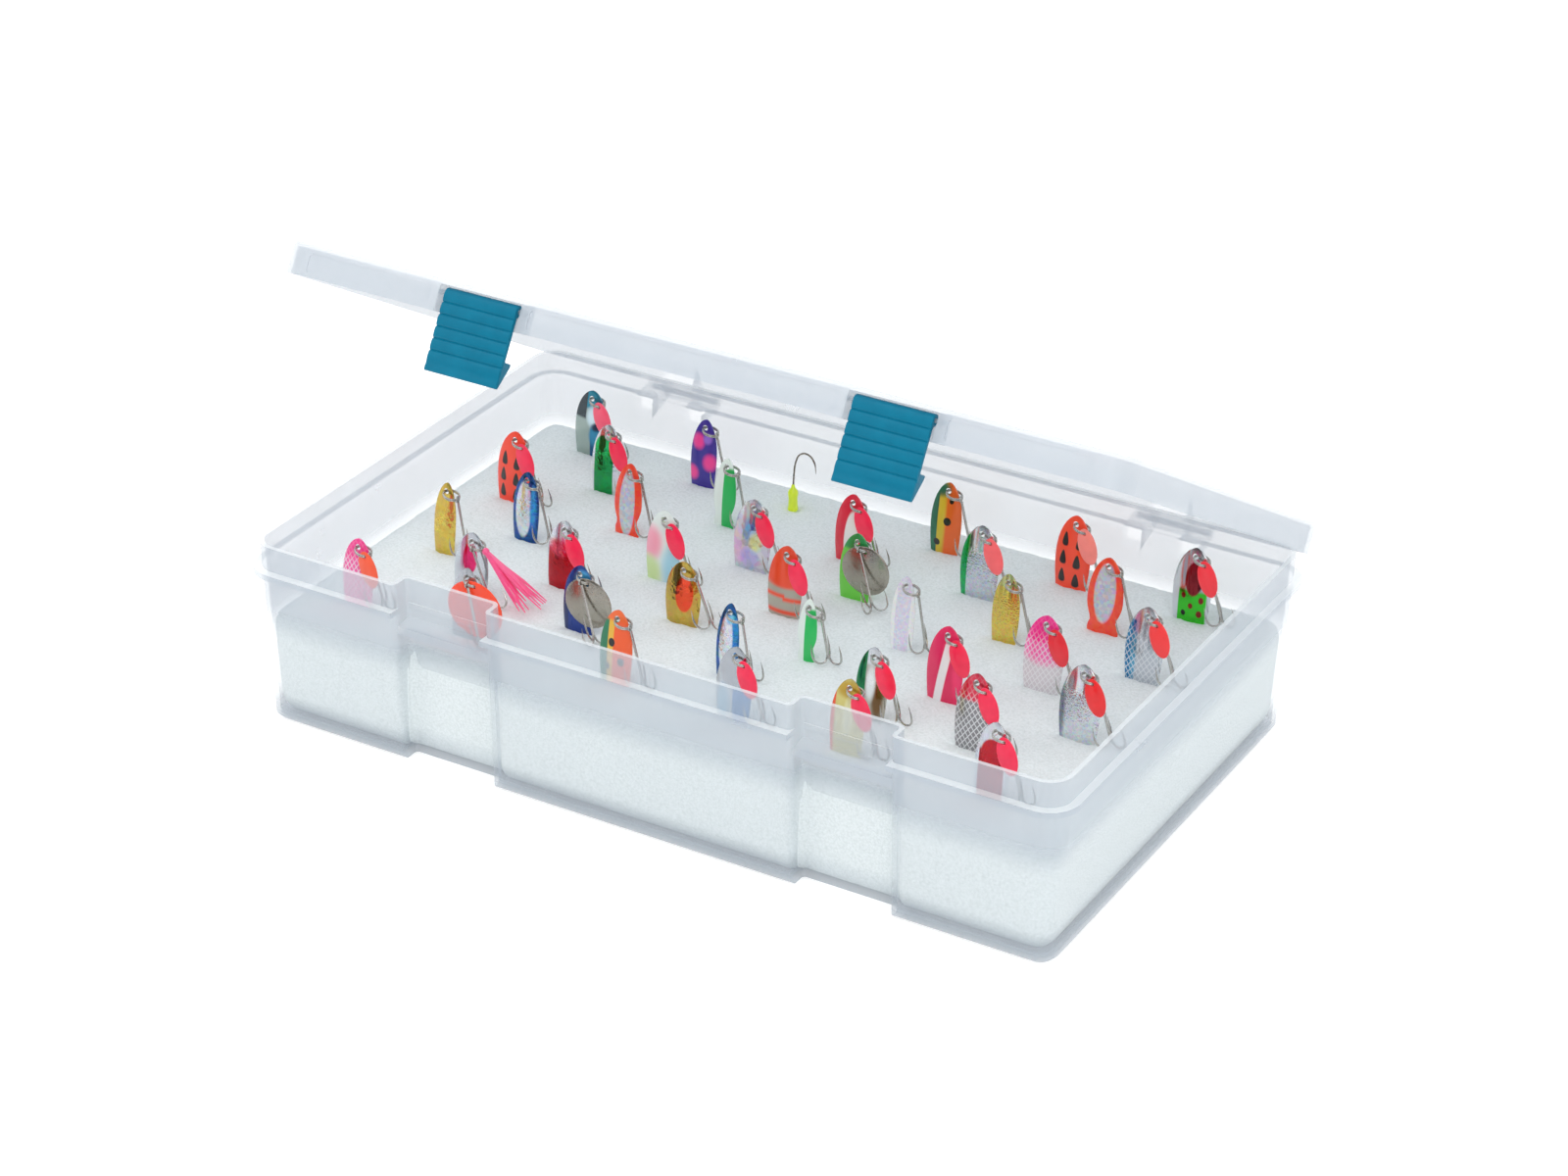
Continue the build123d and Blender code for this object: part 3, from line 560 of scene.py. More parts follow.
def clear_plastic():
    """Polypropylene, injection moulded: milky and faintly blue, clearer where the white
    foam lies against it, with a painted highlight on the tops of its rim and flange,
    and a satin skin that ripples slowly"""
    made, tree, shader = new_material("moulded_polypropylene")
    colours = bpy.context.scene.lure_box_colours
    foam_top = bpy.context.scene.lure_box_sizes.foam_top
    place = node(tree, "ShaderNodeTexCoord").outputs["Object"]
    across, depth, height = node(tree, "ShaderNodeSeparateXYZ", None, {0: place}).outputs
    # Slow flow marks, about 25 mm apart
    flow = node(tree, "ShaderNodeTexNoise", None, {
        "Vector": place, "Scale": 1 / (25 * MM), "Detail": 3.0, "Roughness": 0.5})
    tone = node(tree, "ShaderNodeMix", {"data_type": "RGBA"},
                {0: flow, 6: linear(colours.plastic), 7: linear("#c4ced7")}).outputs[2]
    # Painted highlight: level faces of the tub's rim and flange get a paler tone and a little more
    # opacity, where light falls on their tops
    facing = node(tree, "ShaderNodeSeparateXYZ", None, {
        0: node(tree, "ShaderNodeNewGeometry").outputs["Normal"]}).outputs[2]
    level = node(tree, "ShaderNodeMapRange", None, {0: facing, 1: 0.8, 2: 0.95})
    middle = node(tree, "ShaderNodeMath", {"operation": "SUBTRACT"}, {0: height, 1: RIM_BAND_Z})
    span = node(tree, "ShaderNodeMath", {"operation": "ABSOLUTE"}, {0: middle})
    edges = node(tree, "ShaderNodeMapRange", None, {0: span, 1: 6.4 * MM, 2: 6.2 * MM})
    rim_highlight = node(tree, "ShaderNodeMath", {"operation": "MULTIPLY"}, {0: level, 1: edges})
    tone = node(tree, "ShaderNodeMix", {"data_type": "RGBA"},
                {0: rim_highlight, 6: tone, 7: linear("#eef3f6")}).outputs[2]
    # Haze above the foam's top, and at the thick foot
    haze = node(tree, "ShaderNodeMapRange", {"interpolation_type": "SMOOTHSTEP"}, {
        0: height, 1: foam_top - 12 * MM, 2: foam_top + 4 * MM, 3: 0.11, 4: 0.37})
    foot = node(tree, "ShaderNodeMapRange", None,
                {0: height, 1: 2 * MM, 2: 16 * MM, 3: 0.42, 4: 0.0})
    haze = node(tree, "ShaderNodeMath", {"operation": "MAXIMUM"}, {0: haze, 1: foot})
    alpha = node(tree, "ShaderNodeMath", {"operation": "MULTIPLY_ADD", "use_clamp": True},
                 {0: rim_highlight, 1: 0.15, 2: haze})
    # The two hinges behind the back wall are many thin walls deep, so each wall is clearer
    side = node(tree, "ShaderNodeMath", {"operation": "ABSOLUTE"}, {0: across})
    off = node(tree, "ShaderNodeMath", {"operation": "SUBTRACT"}, {0: side, 1: HINGE_X})
    off = node(tree, "ShaderNodeMath", {"operation": "ABSOLUTE"}, {0: off})
    hinge = node(tree, "ShaderNodeMapRange", None, {0: off, 1: 19 * MM, 2: 17 * MM})
    for value, start, end in ((depth, 107.5, 109), (height, 75, 73)):
        inside = node(tree, "ShaderNodeMapRange", None, {0: value, 1: start * MM, 2: end * MM})
        hinge = node(tree, "ShaderNodeMath", {"operation": "MULTIPLY"}, {0: hinge, 1: inside})
    alpha = node(tree, "ShaderNodeMapRange", None, {0: hinge, 3: alpha, 4: 0.18})
    rough = node(tree, "ShaderNodeMapRange", None, {0: flow, 3: 0.22, 4: 0.4})
    # Satin skin, its grain about 1.1 mm, as coarse as it needs to be to show
    grain = node(tree, "ShaderNodeTexNoise", None,
                 {"Vector": place, "Scale": 1 / (1.11 * MM), "Detail": 2.0})
    bump = node(tree, "ShaderNodeBump", None,
                {"Strength": 0.08, "Distance": 0.2 * MM, "Height": grain})
    feed(tree, shader, {
        "Base Color": tone, "Alpha": alpha, "Roughness": rough, "Normal": bump,
        "IOR": 1.49})
    return made


def teal_plastic():
    """Polypropylene latch, moulded in solid teal: satin, and slightly cloudy"""
    made, tree, shader = new_material("moulded_teal_latch")
    colours = bpy.context.scene.lure_box_colours
    place = node(tree, "ShaderNodeTexCoord").outputs["Object"]
    cloud = node(tree, "ShaderNodeTexNoise", None,
                 {"Vector": place, "Scale": 1 / (6.25 * MM), "Detail": 3.0})
    tone = node(tree, "ShaderNodeMix", {"data_type": "RGBA"},
                {0: cloud, 6: linear(colours.latch), 7: linear("#037897")}).outputs[2]
    grain = node(tree, "ShaderNodeTexNoise", None,
                 {"Vector": place, "Scale": 1 / (0.4 * MM), "Detail": 2.0})
    bump = node(tree, "ShaderNodeBump", None,
                {"Strength": 0.1, "Distance": 0.2 * MM, "Height": grain})
    feed(tree, shader, {
        "Base Color": tone, "Normal": bump, "Roughness": 0.36, "IOR": 1.49,
        "Specular IOR Level": 0.15})
    return made


def foam_finish():
    """Open-cell foam, cut: soft white tufts about 1 mm across, with small shaded
    cells between them, and a matte, softly lit look"""
    made, tree, shader = new_material("open_cell_foam")
    colours = bpy.context.scene.lure_box_colours
    grain = bpy.context.scene.lure_box_sizes.foam_grain
    place = node(tree, "ShaderNodeTexCoord").outputs["Object"]
    tufts = node(tree, "ShaderNodeTexNoise", None,
                 {"Vector": place, "Scale": 1 / grain, "Detail": 4.0, "Roughness": 0.7})
    cells = node(tree, "ShaderNodeTexVoronoi", None,
                 {"Vector": place, "Scale": 1 / grain}).outputs["Distance"]
    height = node(tree, "ShaderNodeMath", {"operation": "MULTIPLY_ADD"},
                  {0: cells, 1: -0.6, 2: tufts})
    shade = node(tree, "ShaderNodeMapRange", None, {0: height, 1: -0.1, 2: 0.4})
    tone = node(tree, "ShaderNodeMix", {"data_type": "RGBA"},
                {0: shade, 6: linear("#e1e9e9"), 7: linear(colours.foam)}).outputs[2]
    bump = node(tree, "ShaderNodeBump", None,
                {"Strength": 0.5, "Distance": 0.4 * MM, "Height": height})
    feed(tree, shader, {
        "Base Color": tone, "Normal": bump, "Roughness": 0.95,
        "Sheen Weight": 0.25, "Sheen Roughness": 0.6})
    return made


def hook_steel(name, colour):
    """Plated steel, nickel or bronze, drawn or stamped: polished, with faint marks"""
    made, tree, shader = new_material(name)
    place = node(tree, "ShaderNodeTexCoord").outputs["Object"]
    marks = node(tree, "ShaderNodeTexNoise", None,
                 {"Vector": place, "Scale": 1 / (1.11 * MM), "Detail": 3.0})
    tone = node(tree, "ShaderNodeMix", {"data_type": "RGBA"},
                {0: marks, 6: linear(colour), 7: linear("#a5a29c")}).outputs[2]
    rough = node(tree, "ShaderNodeMapRange", None, {0: marks, 3: 0.16, 4: 0.34})
    feed(tree, shader, {"Base Color": tone, "Roughness": rough, "Metallic": 1.0})
    return made


def tag_finish(colour):
    """Fluorescent lacquer, as on the tags, the skirt and the jig: bright, even and glossy,
    with a faint painted glow added to its fluorescent colour
    """
    name = "fluorescent_lacquer_painted_glow_" + colour[1:]
    if name in bpy.data.materials:
        return bpy.data.materials[name]
    made, tree, shader = new_material(name)
    place = node(tree, "ShaderNodeTexCoord").outputs["Object"]
    cloud = node(tree, "ShaderNodeTexNoise", None,
                 {"Vector": place, "Scale": 1 / (3.33 * MM), "Detail": 2.0})
    deep = [c * 0.75 for c in linear(colour)[:3]] + [1.0]
    tone = node(tree, "ShaderNodeMix", {"data_type": "RGBA"},
                {0: cloud, 6: deep, 7: linear(colour)}).outputs[2]
    # The emission is a painted glow: it brightens the lacquer by the same amount under any light
    feed(tree, shader, {
        "Base Color": tone, "Roughness": 0.3, "Coat Weight": 0.5, "Coat Roughness": 0.1,
        "Emission Color": linear(colour), "Emission Strength": 0.15})
    return made


def blade_half_width(share, width, height, kind):
    """Half a spoon's width at a share of its height: full at two fifths of its height,
    closing to a pointed dome, and pinched near the foam where it has a fish tail"""
    if share > 0.4:
        return width / 2 * max(0.0, 1 - ((share - 0.4) / 0.6) ** 2.2) ** 0.6
    if share < 0:
        return width * (0.44 + 0.08 * share * height / BLADE_IN_FOAM)
    if kind == "tail":
        waist = 4.5 / height
        if share < waist:
            return width * (0.5 - 0.15 * math.sin(share / waist * math.pi / 2))
        return width * (0.35 + 0.15 * math.sin((share - waist) / (0.4 - waist) * math.pi / 2))
    return width * (0.44 + 0.06 * math.sin(share / 0.4 * math.pi / 2))


def make_spoon(slit, width, height, kind):
    """One spoon blade, crowned across and curved back up its length, with its hole"""
    clear_selection()
    bpy.ops.mesh.primitive_grid_add(
        x_subdivisions=12, y_subdivisions=30, size=2, location=(0, 0, 0))
    blade = bpy.context.object
    rooted = BLADE_IN_FOAM / height
    places = []
    for vertex in blade.data.vertices:
        across = vertex.co.x
        up = (vertex.co.y + 1) / 2
        # Rows stand closer together towards the tip
        share = -rooted + (1 + rooted) * (1 - (1 - up) ** 1.5)
        half = blade_half_width(share, width, height, kind)
        x = across * half
        z = share * height
        crown = (x / (width / 2)) ** 2 * width * 0.1
        places.append((across, share))
        vertex.co = slit + Vector((x, lean(z * MM) / MM + crown - width * 0.05, z)) * MM
    layer = blade.data.uv_layers[0]
    layer.name = "blade"
    for corner in blade.data.loops:
        across, share = places[corner.vertex_index]
        half = blade_half_width(share, width, height, kind) / (width / 2)
        layer.data[corner.index].uv = ((across * half + 1) / 2, share)
    tidy_faces(blade)
    modify(blade, "SOLIDIFY", thickness=0.8 * MM, offset=0)
    soften(blade, 0.2, 50)
    hole_z = height - HOLE_BELOW_TIP
    hole = slit + Vector((0, lean(hole_z * MM) / MM - width * 0.05, hole_z)) * MM
    drill(blade, hole, 1.25, 6, 16, (math.radians(90), 0, 0))
    smooth(blade, 40)
    return blade


def make_plate(middle, width, height, turn, cup):
    """A stamped oval plate: domed, rounded at its rim, with a hole near its top"""
    clear_selection()
    bpy.ops.mesh.primitive_circle_add(
        vertices=28, radius=1, fill_type="NGON", location=(0, 0, 0))
    plate = bpy.context.object
    bpy.ops.object.mode_set(mode="EDIT")
    bpy.ops.mesh.select_all(action="SELECT")
    for step in (0.08, 0.2, 0.25, 0.2):
        bpy.ops.mesh.inset(thickness=step, depth=0)
    bpy.ops.object.mode_set(mode="OBJECT")
    for vertex in plate.data.vertices:
        out = math.hypot(vertex.co.x, vertex.co.y)
        vertex.co = Vector((
            vertex.co.x * width / 2 * MM, -cup * (1 - out ** 2) * MM, vertex.co.y * height / 2 * MM))
    modify(plate, "SOLIDIFY", thickness=0.5 * MM, offset=0)
    soften(plate, 0.14, 50)
    tidy_faces(plate)
    hole = (0, 0, (height / 2 - TAG_HOLE_BELOW_TOP) * MM)
    drill(plate, hole, 0.9, 8, 14, (math.radians(90), 0, 0))
    smooth(plate, 40)
    plate.rotation_euler = Euler((0, math.radians(turn), 0))
    plate.location = middle
    return plate


class LUREBOX_OT_plastics(bpy.types.Operator):
    """Give the moulded tub, lid and pins their clear plastic"""

    bl_idname = "lure_box.plastics"
    bl_label = "Clear plastic"

    def execute(self, context):
        material = clear_plastic()
        for name in ("tub", "lid", "hinge_pins", "latch_pins"):
            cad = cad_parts[name]
            cad.data.materials.clear()
            cad.data.materials.append(material)
        return {"FINISHED"}


class LUREBOX_OT_foam(bpy.types.Operator):
    """Make the foam insert, pinched down where each lure goes in"""

    bl_idname = "lure_box.foam"
    bl_label = "Foam insert"

    def execute(self, context):
        low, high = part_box("foam_insert")
        sizes = context.scene.lure_box_sizes
        clear_selection()
        middle = (low + high) / 2
        inset = 0.1 * MM
        bpy.ops.mesh.primitive_cube_add(size=1, location=middle)
        foam = context.object
        foam.scale = (high.x - low.x - inset * 2, high.y - low.y - inset * 2, high.z - low.z)
        bpy.ops.object.transform_apply(location=True, rotation=True, scale=True)
        draft = (high.z - low.z) * math.tan(math.radians(2))
        for vertex in foam.data.vertices:
            if vertex.co.z < middle.z:
                vertex.co.x -= math.copysign(draft, vertex.co.x)
                vertex.co.y -= math.copysign(draft, vertex.co.y)
        deselect_faces()
        for edge in foam.data.edges:
            ends = [foam.data.vertices[i].co for i in edge.vertices]
            edge.select = abs(ends[0].z - ends[1].z) > 0.02
        bpy.ops.object.mode_set(mode="EDIT")
        bpy.ops.mesh.select_mode(type="EDGE")
        bpy.ops.mesh.bevel(offset=7.5 * MM, segments=5)
        bpy.ops.object.mode_set(mode="OBJECT")
        # The tub's two latch recesses
        for side in (-1, 1):
            bpy.ops.object.select_all(action="DESELECT")
            bpy.ops.mesh.primitive_cube_add(size=1, location=(
                side * sizes.latch_x, low.y, middle.z))
            cutter = context.object
            cutter.scale = (44.7 * MM, 16 * MM, 80 * MM)
            cut_away(foam, cutter)
        modify(foam, "REMESH", mode="VOXEL", voxel_size=1.9 * MM)
        modify(foam, "SMOOTH", factor=0.5, iterations=2)
        slits = [(slit_place(row, place, shift), width)
                 for _, row, place, shift, width, _, _ in LURES]
        pinch, sink = 4 * MM, 1.6 * MM
        random.seed(4)
        for vertex in foam.data.vertices:
            if vertex.co.z < high.z - 2.5 * MM:
                continue
            dip = 0.0
            for slit, width in slits:
                dx = max(0.0, abs(vertex.co.x - slit.x) - width * MM / 2)
                near = math.hypot(dx, vertex.co.y - slit.y)
                if near < pinch:
                    dip = max(dip, (1 - near / pinch) ** 2)
            vertex.co.z -= dip * sink
            vertex.co.z += random.uniform(-0.5, 0.1) * MM
        select_only(foam)
        bpy.ops.object.shade_smooth()
        settle(foam, "foam_block", "root", foam_finish())
        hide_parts("foam_insert")
        return {"FINISHED"}


class LUREBOX_OT_latches(bpy.types.Operator):
    """Make both latches: a ribbed plate, a rolled top and a hook behind the foot"""

    bl_idname = "lure_box.latches"
    bl_label = "Latches"

    def execute(self, context):
        sizes = context.scene.lure_box_sizes
        material = teal_plastic()
        axis = Vector((0, sizes.hinge_y, sizes.hinge_z))
        for side, name in ((-1, "left"), (1, "right")):
            latch = self.make_latch(side * sizes.latch_x)
            turn = Matrix.Translation(axis) @ Matrix.Rotation(
                -math.radians(sizes.lid_open), 4, "X") @ Matrix.Translation(-axis)
            latch.matrix_world = turn @ latch.matrix_world
            settle(latch, "ribbed_latch_" + name, "latch_" + name, material)
            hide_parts("latch_" + name)
        return {"FINISHED"}

    def make_latch(self, middle):
        """One latch, closed: its section drawn as a face, pushed out to its width"""
        front, back, top, bottom, width = -107.1, -104.9, 77.5, 45.5, 32
        outline = []
        waves, pitch = 6, 4.6
        for wave in range(waves):
            for step in range(10):
                share = step / 10
                depth = 0.55 * (1 - math.sin(math.pi * share) ** 0.5)
                if step == 0 and wave:
                    depth = 0.8
                outline.append((front + depth, top - 1.1 - (wave + share) * pitch))
        # The foot and the hook behind it
        outline += [
            (front + 0.3, 47.9), (front + 0.1, 47.3), (front + 0.1, bottom + 0.5),
            (front + 0.5, bottom), (back - 0.4, bottom),
            (-100.6, bottom + 8.9), (-100.4, bottom + 9.6), (-100.7, bottom + 10.3),
            (back + 0.4, bottom + 10.3), (back, bottom + 10.8), (back, 72.4)]
        # The barrel round the pin
        pivot, barrel = (-104.6, 75.2), 2.3
        for step in range(11):
            turn = math.radians(-80 + step * 22)
            outline.append(
                (pivot[0] + barrel * math.cos(turn), pivot[1] + barrel * math.sin(turn)))
        clear_selection()
        bpy.ops.mesh.primitive_circle_add(
            vertices=len(outline), radius=1, fill_type="NGON", location=(0, 0, 0))
        latch = bpy.context.object
        for vertex, (y, z) in zip(latch.data.vertices, outline):
            vertex.co = Vector((middle / MM - width / 2, y, z)) * MM
        bpy.ops.object.mode_set(mode="EDIT")
        bpy.ops.mesh.select_all(action="SELECT")
        bpy.ops.mesh.extrude_region_move(
            TRANSFORM_OT_translate={"value": (width * MM, 0, 0)})
        bpy.ops.mesh.select_all(action="SELECT")
        bpy.ops.mesh.normals_make_consistent(inside=False)
        bpy.ops.object.mode_set(mode="OBJECT")
        soften(latch, 0.3, 60)
        pin = (middle, pivot[0] * MM, pivot[1] * MM)
        drill(latch, pin, 0.95, 40, 24, (0, math.radians(90), 0))
        smooth(latch, 35)
        return latch


class LUREBOX_OT_spoons(bpy.types.Operator):
    """Make each spoon blade in its own finish"""

    bl_idname = "lure_box.spoons"
    bl_label = "Spoon blades"

    def execute(self, context):
        for name, slit, width, height, kind in spoons():
            blade = make_spoon(slit, width, height, kind)
            material = spoon_finish(name, width, height)
            settle(blade, "blade_" + name, "lure_" + name, material)
            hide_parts("lure_" + name)
        return {"FINISHED"}


class LUREBOX_OT_rings(bpy.types.Operator):
    """Make the split ring through each blade's hole: two turns of wire side by side"""

    bl_idname = "lure_box.rings"
    bl_label = "Split rings"

    def execute(self, context):
        colours = context.scene.lure_box_colours
        steel = hook_steel("nickel_plated_wire", colours.steel)
        for name, slit, _, height, _ in spoons():
            centre, _ = ring_point(height, 0)
            turns = []
            for side in (-0.3, 0.3):
                clear_selection()
                bpy.ops.mesh.primitive_torus_add(
                    major_segments=28, minor_segments=8,
                    major_radius=RING_RADIUS * MM, minor_radius=0.33 * MM,
                    location=slit + centre + Vector((0, 0, side * MM)),
                    rotation=(0, RING_SLOPE, 0))
                bpy.ops.object.shade_smooth()
                turns.append(context.object)
            settle(join(turns), "ring_" + name, "lure_" + name, steel)
        return {"FINISHED"}


class LUREBOX_OT_trebles(bpy.types.Operator):
    """Make the treble hook on each ring: an eye, a shank and three bends with points"""

    bl_idname = "lure_box.trebles"
    bl_label = "Treble hooks"

    def execute(self, context):
        steel = bpy.data.materials["nickel_plated_wire"]
        fronts = {"disc": 8.0, "large_disc": 8.0, "skirt": 5.0}
        for name, slit, width, height, kind in spoons():
            front = fronts.get(kind, 0.0)
            _, hang = ring_point(height, 90 if front else 5)
            foot = Vector(((width / 2 + 6.0) * MM, -front * MM, 1.0 * MM))
            up = (hang - foot).normalized()
            start = hang - up * 1.2 * MM
            reach = 3.2 * MM
            hook = foot + up * reach
            parts = [wire([slit + start, slit + (start + hook) / 2, slit + hook], 1.1 * MM)]
            clear_selection()
            side = up.cross(Vector((0, 1, 0))).normalized()
            bpy.ops.mesh.primitive_torus_add(
                major_segments=16, minor_segments=8, major_radius=1.15 * MM,
                minor_radius=0.36 * MM, location=slit + hang + up * 0.05 * MM,
                rotation=up.cross(side).to_track_quat("Y", "X").to_euler())
            bpy.ops.object.shade_smooth()
            parts.append(context.object)
            for bearing in (-90, 30, 150) if front else (-125, -5, 115):
                angle = math.radians(bearing)
                out = Vector((math.cos(angle), math.sin(angle), 0))
                points = [
                    hook + up * 2 * MM + out * 0.1 * MM,
                    hook + out * 0.25 * MM,
                    foot + out * reach * 0.45 + up * 0.6 * MM,
                    foot + out * reach * 1.1 + up * 0.1 * MM,
                    foot + out * reach * 1.75 + up * 1.4 * MM,
                    foot + out * reach * 2.0 + up * 4.0 * MM,
                    foot + out * reach * 1.9 + up * 8.5 * MM,
                ]
                parts.append(wire([slit + p for p in points], 0.8 * MM, taper=0.15, steps=3))
            treble = join(parts)
            settle(treble, "treble_" + name, "lure_" + name, steel)
        return {"FINISHED"}


class LUREBOX_OT_tags(bpy.types.Operator):
    """Hang the attractor tag or the round blade on the rings that carry one"""

    bl_idname = "lure_box.tags"
    bl_label = "Attractor tags"

    def execute(self, context):
        colours = context.scene.lure_box_colours
        nickel = hook_steel("stamped_nickel", "#b9af9e")
        for name, slit, _, height, kind in spoons():
            if kind == "attractor":
                turn, wide, tall, cup, tilt = 45, 8.0, 15.5, 0.6, 16
                material = tag_finish(TAGS.get(name, colours.tag))
            elif kind == "disc":
                turn, wide, tall, cup, tilt = 38, 21.0, 21.0, 1.6, 0
                material = nickel
            elif kind == "large_disc":
                turn, wide, tall, cup, tilt = 38, 25.0, 24.0, 1.2, 0
                material = tag_finish("#ff4a26")
            else:
                continue
            _, point = ring_point(height, turn)
            swing = math.radians(tilt)
            reach = (tall / 2 - TAG_HOLE_BELOW_TOP) * MM
            middle = slit + point + Vector((math.sin(swing), 0, -math.cos(swing))) * reach
            plate = make_plate(middle, wide, tall, -tilt, cup)
            settle(plate, "tag_" + name, "lure_" + name, material)
        return {"FINISHED"}


class LUREBOX_OT_skirt(bpy.types.Operator):
    """Make the squid skirt: a bunch of soft strands from a collar, spread at the tips"""

    bl_idname = "lure_box.skirt"
    bl_label = "Squid skirt"

    def execute(self, context):
        random.seed(11)
        name, slit, height = only("skirt")
        _, neck = ring_point(height, 0)
        start = slit + neck + Vector((0.8, 0, -0.8)) * MM
        strands = []
        for strand in range(18):
            turn = strand / 18 * math.tau
            spread = Vector((0.5 * math.cos(turn), math.sin(turn), 0.35 * math.cos(turn)))
            reach = random.uniform(0.86, 1.12)
            points = [
                start + spread * 0.6 * MM,
                start + Vector((6 * reach, 0.1, -5.5)) * MM + spread * 2.0 * MM,
                start + Vector((13 * reach, 0.3, -12 + random.uniform(-0.8, 0.8))) * MM
                + spread * random.uniform(3.0, 4.4) * MM,
                start + Vector((20.5 * reach, 0.4, -18.6 + random.uniform(-0.4, 0.6))) * MM
                + Vector((spread.x * 1.6, spread.y, abs(spread.z) * 0.6)) * 6.0 * MM,
            ]
            strands.append(wire(points, 1.15 * MM, taper=0.35, steps=4))
        clear_selection()
        bpy.ops.mesh.primitive_uv_sphere_add(
            segments=16, ring_count=10, radius=1.5 * MM, location=start)
        bpy.ops.object.shade_smooth()
        strands.append(context.object)
        skirt = join(strands)
        settle(skirt, "skirt_" + name, "lure_" + name, tag_finish("#fb5a92"))
        return {"FINISHED"}


class LUREBOX_OT_jig(bpy.types.Operator):
    """Make the jig: a moulded chartreuse body with a collar and a bronze single hook"""

    bl_idname = "lure_box.jig"
    bl_label = "Jig"

    def execute(self, context):
        colours = context.scene.lure_box_colours
        name, slit, _ = only("jig")
        clear_selection()
        bpy.ops.mesh.primitive_cylinder_add(
            vertices=20, radius=1 * MM, depth=1 * MM, end_fill_type="NGON", location=(0, 0, 0))
        body = context.object
        deselect_faces()
        for face in body.data.polygons:
            face.select = face.normal.z > 0.9
        for vertex in body.data.vertices:
            vertex.co.z = (-BLADE_IN_FOAM if vertex.co.z < 0 else -2) * MM
            vertex.co.x *= 0.6
            vertex.co.y *= 0.6
        bpy.ops.object.mode_set(mode="EDIT")
        bpy.ops.mesh.select_mode(type="FACE")
        for rise, grow in ((1.6, 3.8), (1.4, 0.87), (3.5, 0.95), (2.5, 1.15), (1.2, 0.86),
                           (1.3, 0.47), (1.5, 0.66)):
            bpy.ops.mesh.extrude_region_move(TRANSFORM_OT_translate={"value": (0, 0, rise * MM)})
            bpy.ops.transform.resize(value=(grow, grow, 1))
        bpy.ops.object.mode_set(mode="OBJECT")
        body.location = slit
        soften(body, 0.3, 30)
        smooth(body, 50)
        settle(body, "jig_body", "lure_" + name, tag_finish("#d8ee2c"))
        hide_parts("lure_" + name)
        top = slit + Vector((0, 0, 9 * MM))
        points = [Vector(p) * MM for p in (
            (0, 0, 0), (0.3, 0, 6), (1.0, 0, 12), (3.2, 0, 16.4), (6.6, 0, 17.2),
            (9.6, 0, 14.6), (10.6, 0, 9.4))]
        hook = wire([top + p for p in points], 0.75 * MM, taper=0.2)
        settle(hook, "jig_hook", "lure_" + name, hook_steel("bronzed_wire", colours.bronze))
        return {"FINISHED"}


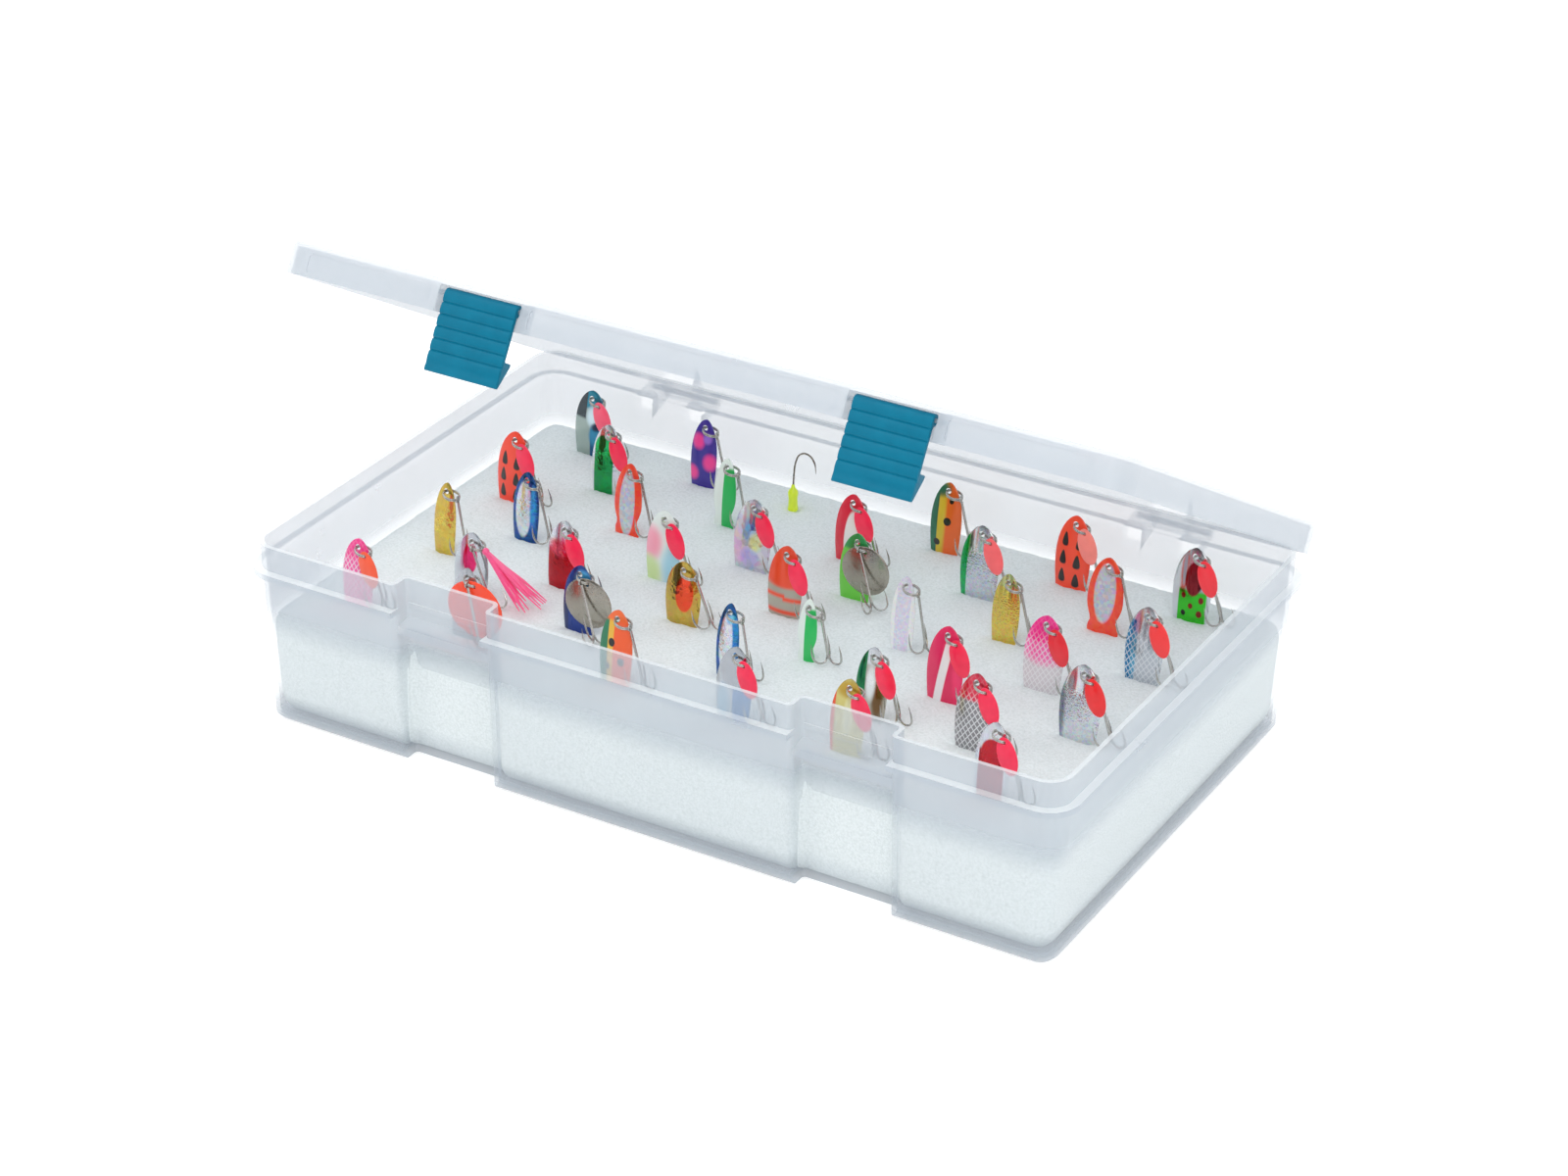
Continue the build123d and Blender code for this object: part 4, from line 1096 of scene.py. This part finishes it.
class LUREBOX_OT_stage(bpy.types.Operator):
    """Make the pale floor, the soft lamps, the world and the camera"""

    bl_idname = "lure_box.stage"
    bl_label = "Stage"

    def execute(self, context):
        clear_selection()
        bpy.ops.mesh.primitive_plane_add(size=12, location=(0, 0, -0.0002))
        floor = context.object
        floor.name = "floor"
        floor.data.materials.append(self.floor_finish())
        self.sky(context.scene)
        for name, place, aim, power, size in (
            ("key", (-0.5, -0.5, 1.5), (0, 0, 0.03), 3.0, 1.0),
            ("fill", (1.3, -1.3, 0.9), (0, 0, 0.04), 3.0, 0.8),
            ("back", (0.2, 1.3, 1.2), (0, 0, 0.05), 3.0, 0.8),
        ):
            aim_at = (Vector(aim) - Vector(place)).to_track_quat("-Z", "Y").to_euler()
            bpy.ops.object.light_add(type="AREA", location=place, rotation=aim_at)
            lamp = context.object
            lamp.name = name + "_lamp"
            lamp.data.energy = power
            lamp.data.size = size
        self.camera(context.scene)
        return {"FINISHED"}

    def seen_directly(self, tree):
        """1 where a ray comes from the camera, a reflection or a clear surface"""
        path = node(tree, "ShaderNodeLightPath")
        either = node(tree, "ShaderNodeMath", {"operation": "MAXIMUM"},
                      {0: path.outputs["Is Camera Ray"], 1: path.outputs["Is Glossy Ray"]})
        return node(tree, "ShaderNodeMath", {"operation": "MAXIMUM"},
                    {0: either, 1: path.outputs["Is Transmission Ray"]})

    def floor_finish(self):
        """Seamless paper: matte, with enough light of its own to read as white"""
        made, tree, shader = new_material("seamless_paper")
        strength = node(tree, "ShaderNodeMath", {"operation": "MULTIPLY"},
                        {0: self.seen_directly(tree), 1: 0.45})
        feed(tree, shader, {
            "Base Color": linear("#e4e4e4"), "Roughness": 0.9,
            "Emission Color": (1, 1, 1, 1), "Emission Strength": strength})
        return made

    def sky(self, scene):
        """White to the camera and in clear pieces, and a little stronger as a light"""
        world = scene.world or bpy.data.worlds.new("sky")
        scene.world = world
        world.use_nodes = True
        tree = world.node_tree
        strength = node(tree, "ShaderNodeMapRange", None,
                        {0: self.seen_directly(tree), 3: 1.18, 4: 1.0})
        # Polished metal mirrors the darker parts of a room, below a white ceiling
        way = node(tree, "ShaderNodeTexCoord").outputs["Generated"]
        patches = node(tree, "ShaderNodeTexNoise", None,
                       {"Vector": way, "Scale": 2.2, "Detail": 1.0})
        height = node(tree, "ShaderNodeSeparateXYZ", None, {0: way}).outputs[2]
        lifted = node(tree, "ShaderNodeMath", {"operation": "MULTIPLY_ADD"},
                      {0: height, 1: 0.22, 2: patches})
        room = node(tree, "ShaderNodeMapRange", {"interpolation_type": "SMOOTHSTEP"},
                    {0: lifted, 1: 0.5, 2: 0.6, 3: 0.06, 4: 1.1})
        glossy = node(tree, "ShaderNodeLightPath").outputs["Is Glossy Ray"]
        seen = node(tree, "ShaderNodeMix", {"data_type": "FLOAT"}, {0: glossy, 2: 1.0, 3: room})
        total = node(tree, "ShaderNodeMath", {"operation": "MULTIPLY"}, {0: strength, 1: seen})
        feed(tree, tree.nodes["Background"], {
            "Color": (1, 1, 1, 1), "Strength": total})
        scene.view_settings.view_transform = "Standard"
        scene.cycles.transparent_max_bounces = 32

    def camera(self, scene):
        """The photograph's viewing angle"""
        azimuth, elevation, roll = map(math.radians, (29.892, 28.496, 0.716))
        back = Vector((
            math.sin(azimuth) * math.cos(elevation),
            -math.cos(azimuth) * math.cos(elevation), math.sin(elevation)))
        right = Vector((math.cos(azimuth), math.sin(azimuth), 0))
        up = back.cross(right)
        across = right * math.cos(roll) + up * math.sin(roll)
        above = up * math.cos(roll) - right * math.sin(roll)
        distance, shift_right, shift_up = 1.53827, 0.002738, 0.016688
        aim = Vector((0, 0, 0.04))
        place = aim + back * distance + across * shift_right + above * shift_up
        turned = Matrix((across, above, back)).transposed().to_euler()
        bpy.ops.object.camera_add(location=place, rotation=turned)
        camera = bpy.context.object
        camera.data.lens = 90.4
        camera.data.sensor_width = 36
        scene.camera = camera


class LUREBOX_PT_panel(bpy.types.Panel):
    """Lists the pieces of the lure box"""

    bl_label = "Lure box"
    bl_idname = "LUREBOX_PT_panel"
    bl_space_type = "VIEW_3D"
    bl_region_type = "UI"
    bl_category = "Lure box"

    def draw(self, context):
        for operator in OPERATORS:
            self.layout.operator(operator.bl_idname)
        for group in (context.scene.lure_box_sizes, context.scene.lure_box_colours):
            for name in group.bl_rna.properties.keys():
                if name not in ("rna_type", "name"):
                    self.layout.prop(group, name)


OPERATORS = (
    LUREBOX_OT_plastics, LUREBOX_OT_foam, LUREBOX_OT_latches, LUREBOX_OT_spoons,
    LUREBOX_OT_rings, LUREBOX_OT_trebles, LUREBOX_OT_tags, LUREBOX_OT_skirt,
    LUREBOX_OT_jig, LUREBOX_OT_stage,
)
CLASSES = (LureBoxSizes, LureBoxColours, *OPERATORS, LUREBOX_PT_panel)


def register():
    """Register the classes and hang the sizes and colours on the scene"""
    for item in CLASSES:
        bpy.utils.register_class(item)
    bpy.types.Scene.lure_box_sizes = bpy.props.PointerProperty(type=LureBoxSizes)
    bpy.types.Scene.lure_box_colours = bpy.props.PointerProperty(type=LureBoxColours)


def unregister():
    """Take everything off again"""
    del bpy.types.Scene.lure_box_colours
    del bpy.types.Scene.lure_box_sizes
    for item in reversed(CLASSES):
        bpy.utils.unregister_class(item)


def main():
    """Make every piece"""
    register()
    bpy.ops.lure_box.plastics()
    bpy.ops.lure_box.foam()
    bpy.ops.lure_box.latches()
    bpy.ops.lure_box.spoons()
    bpy.ops.lure_box.rings()
    bpy.ops.lure_box.trebles()
    bpy.ops.lure_box.tags()
    bpy.ops.lure_box.skirt()
    bpy.ops.lure_box.jig()
    bpy.ops.lure_box.stage()


if __name__ == "__main__":
    main()
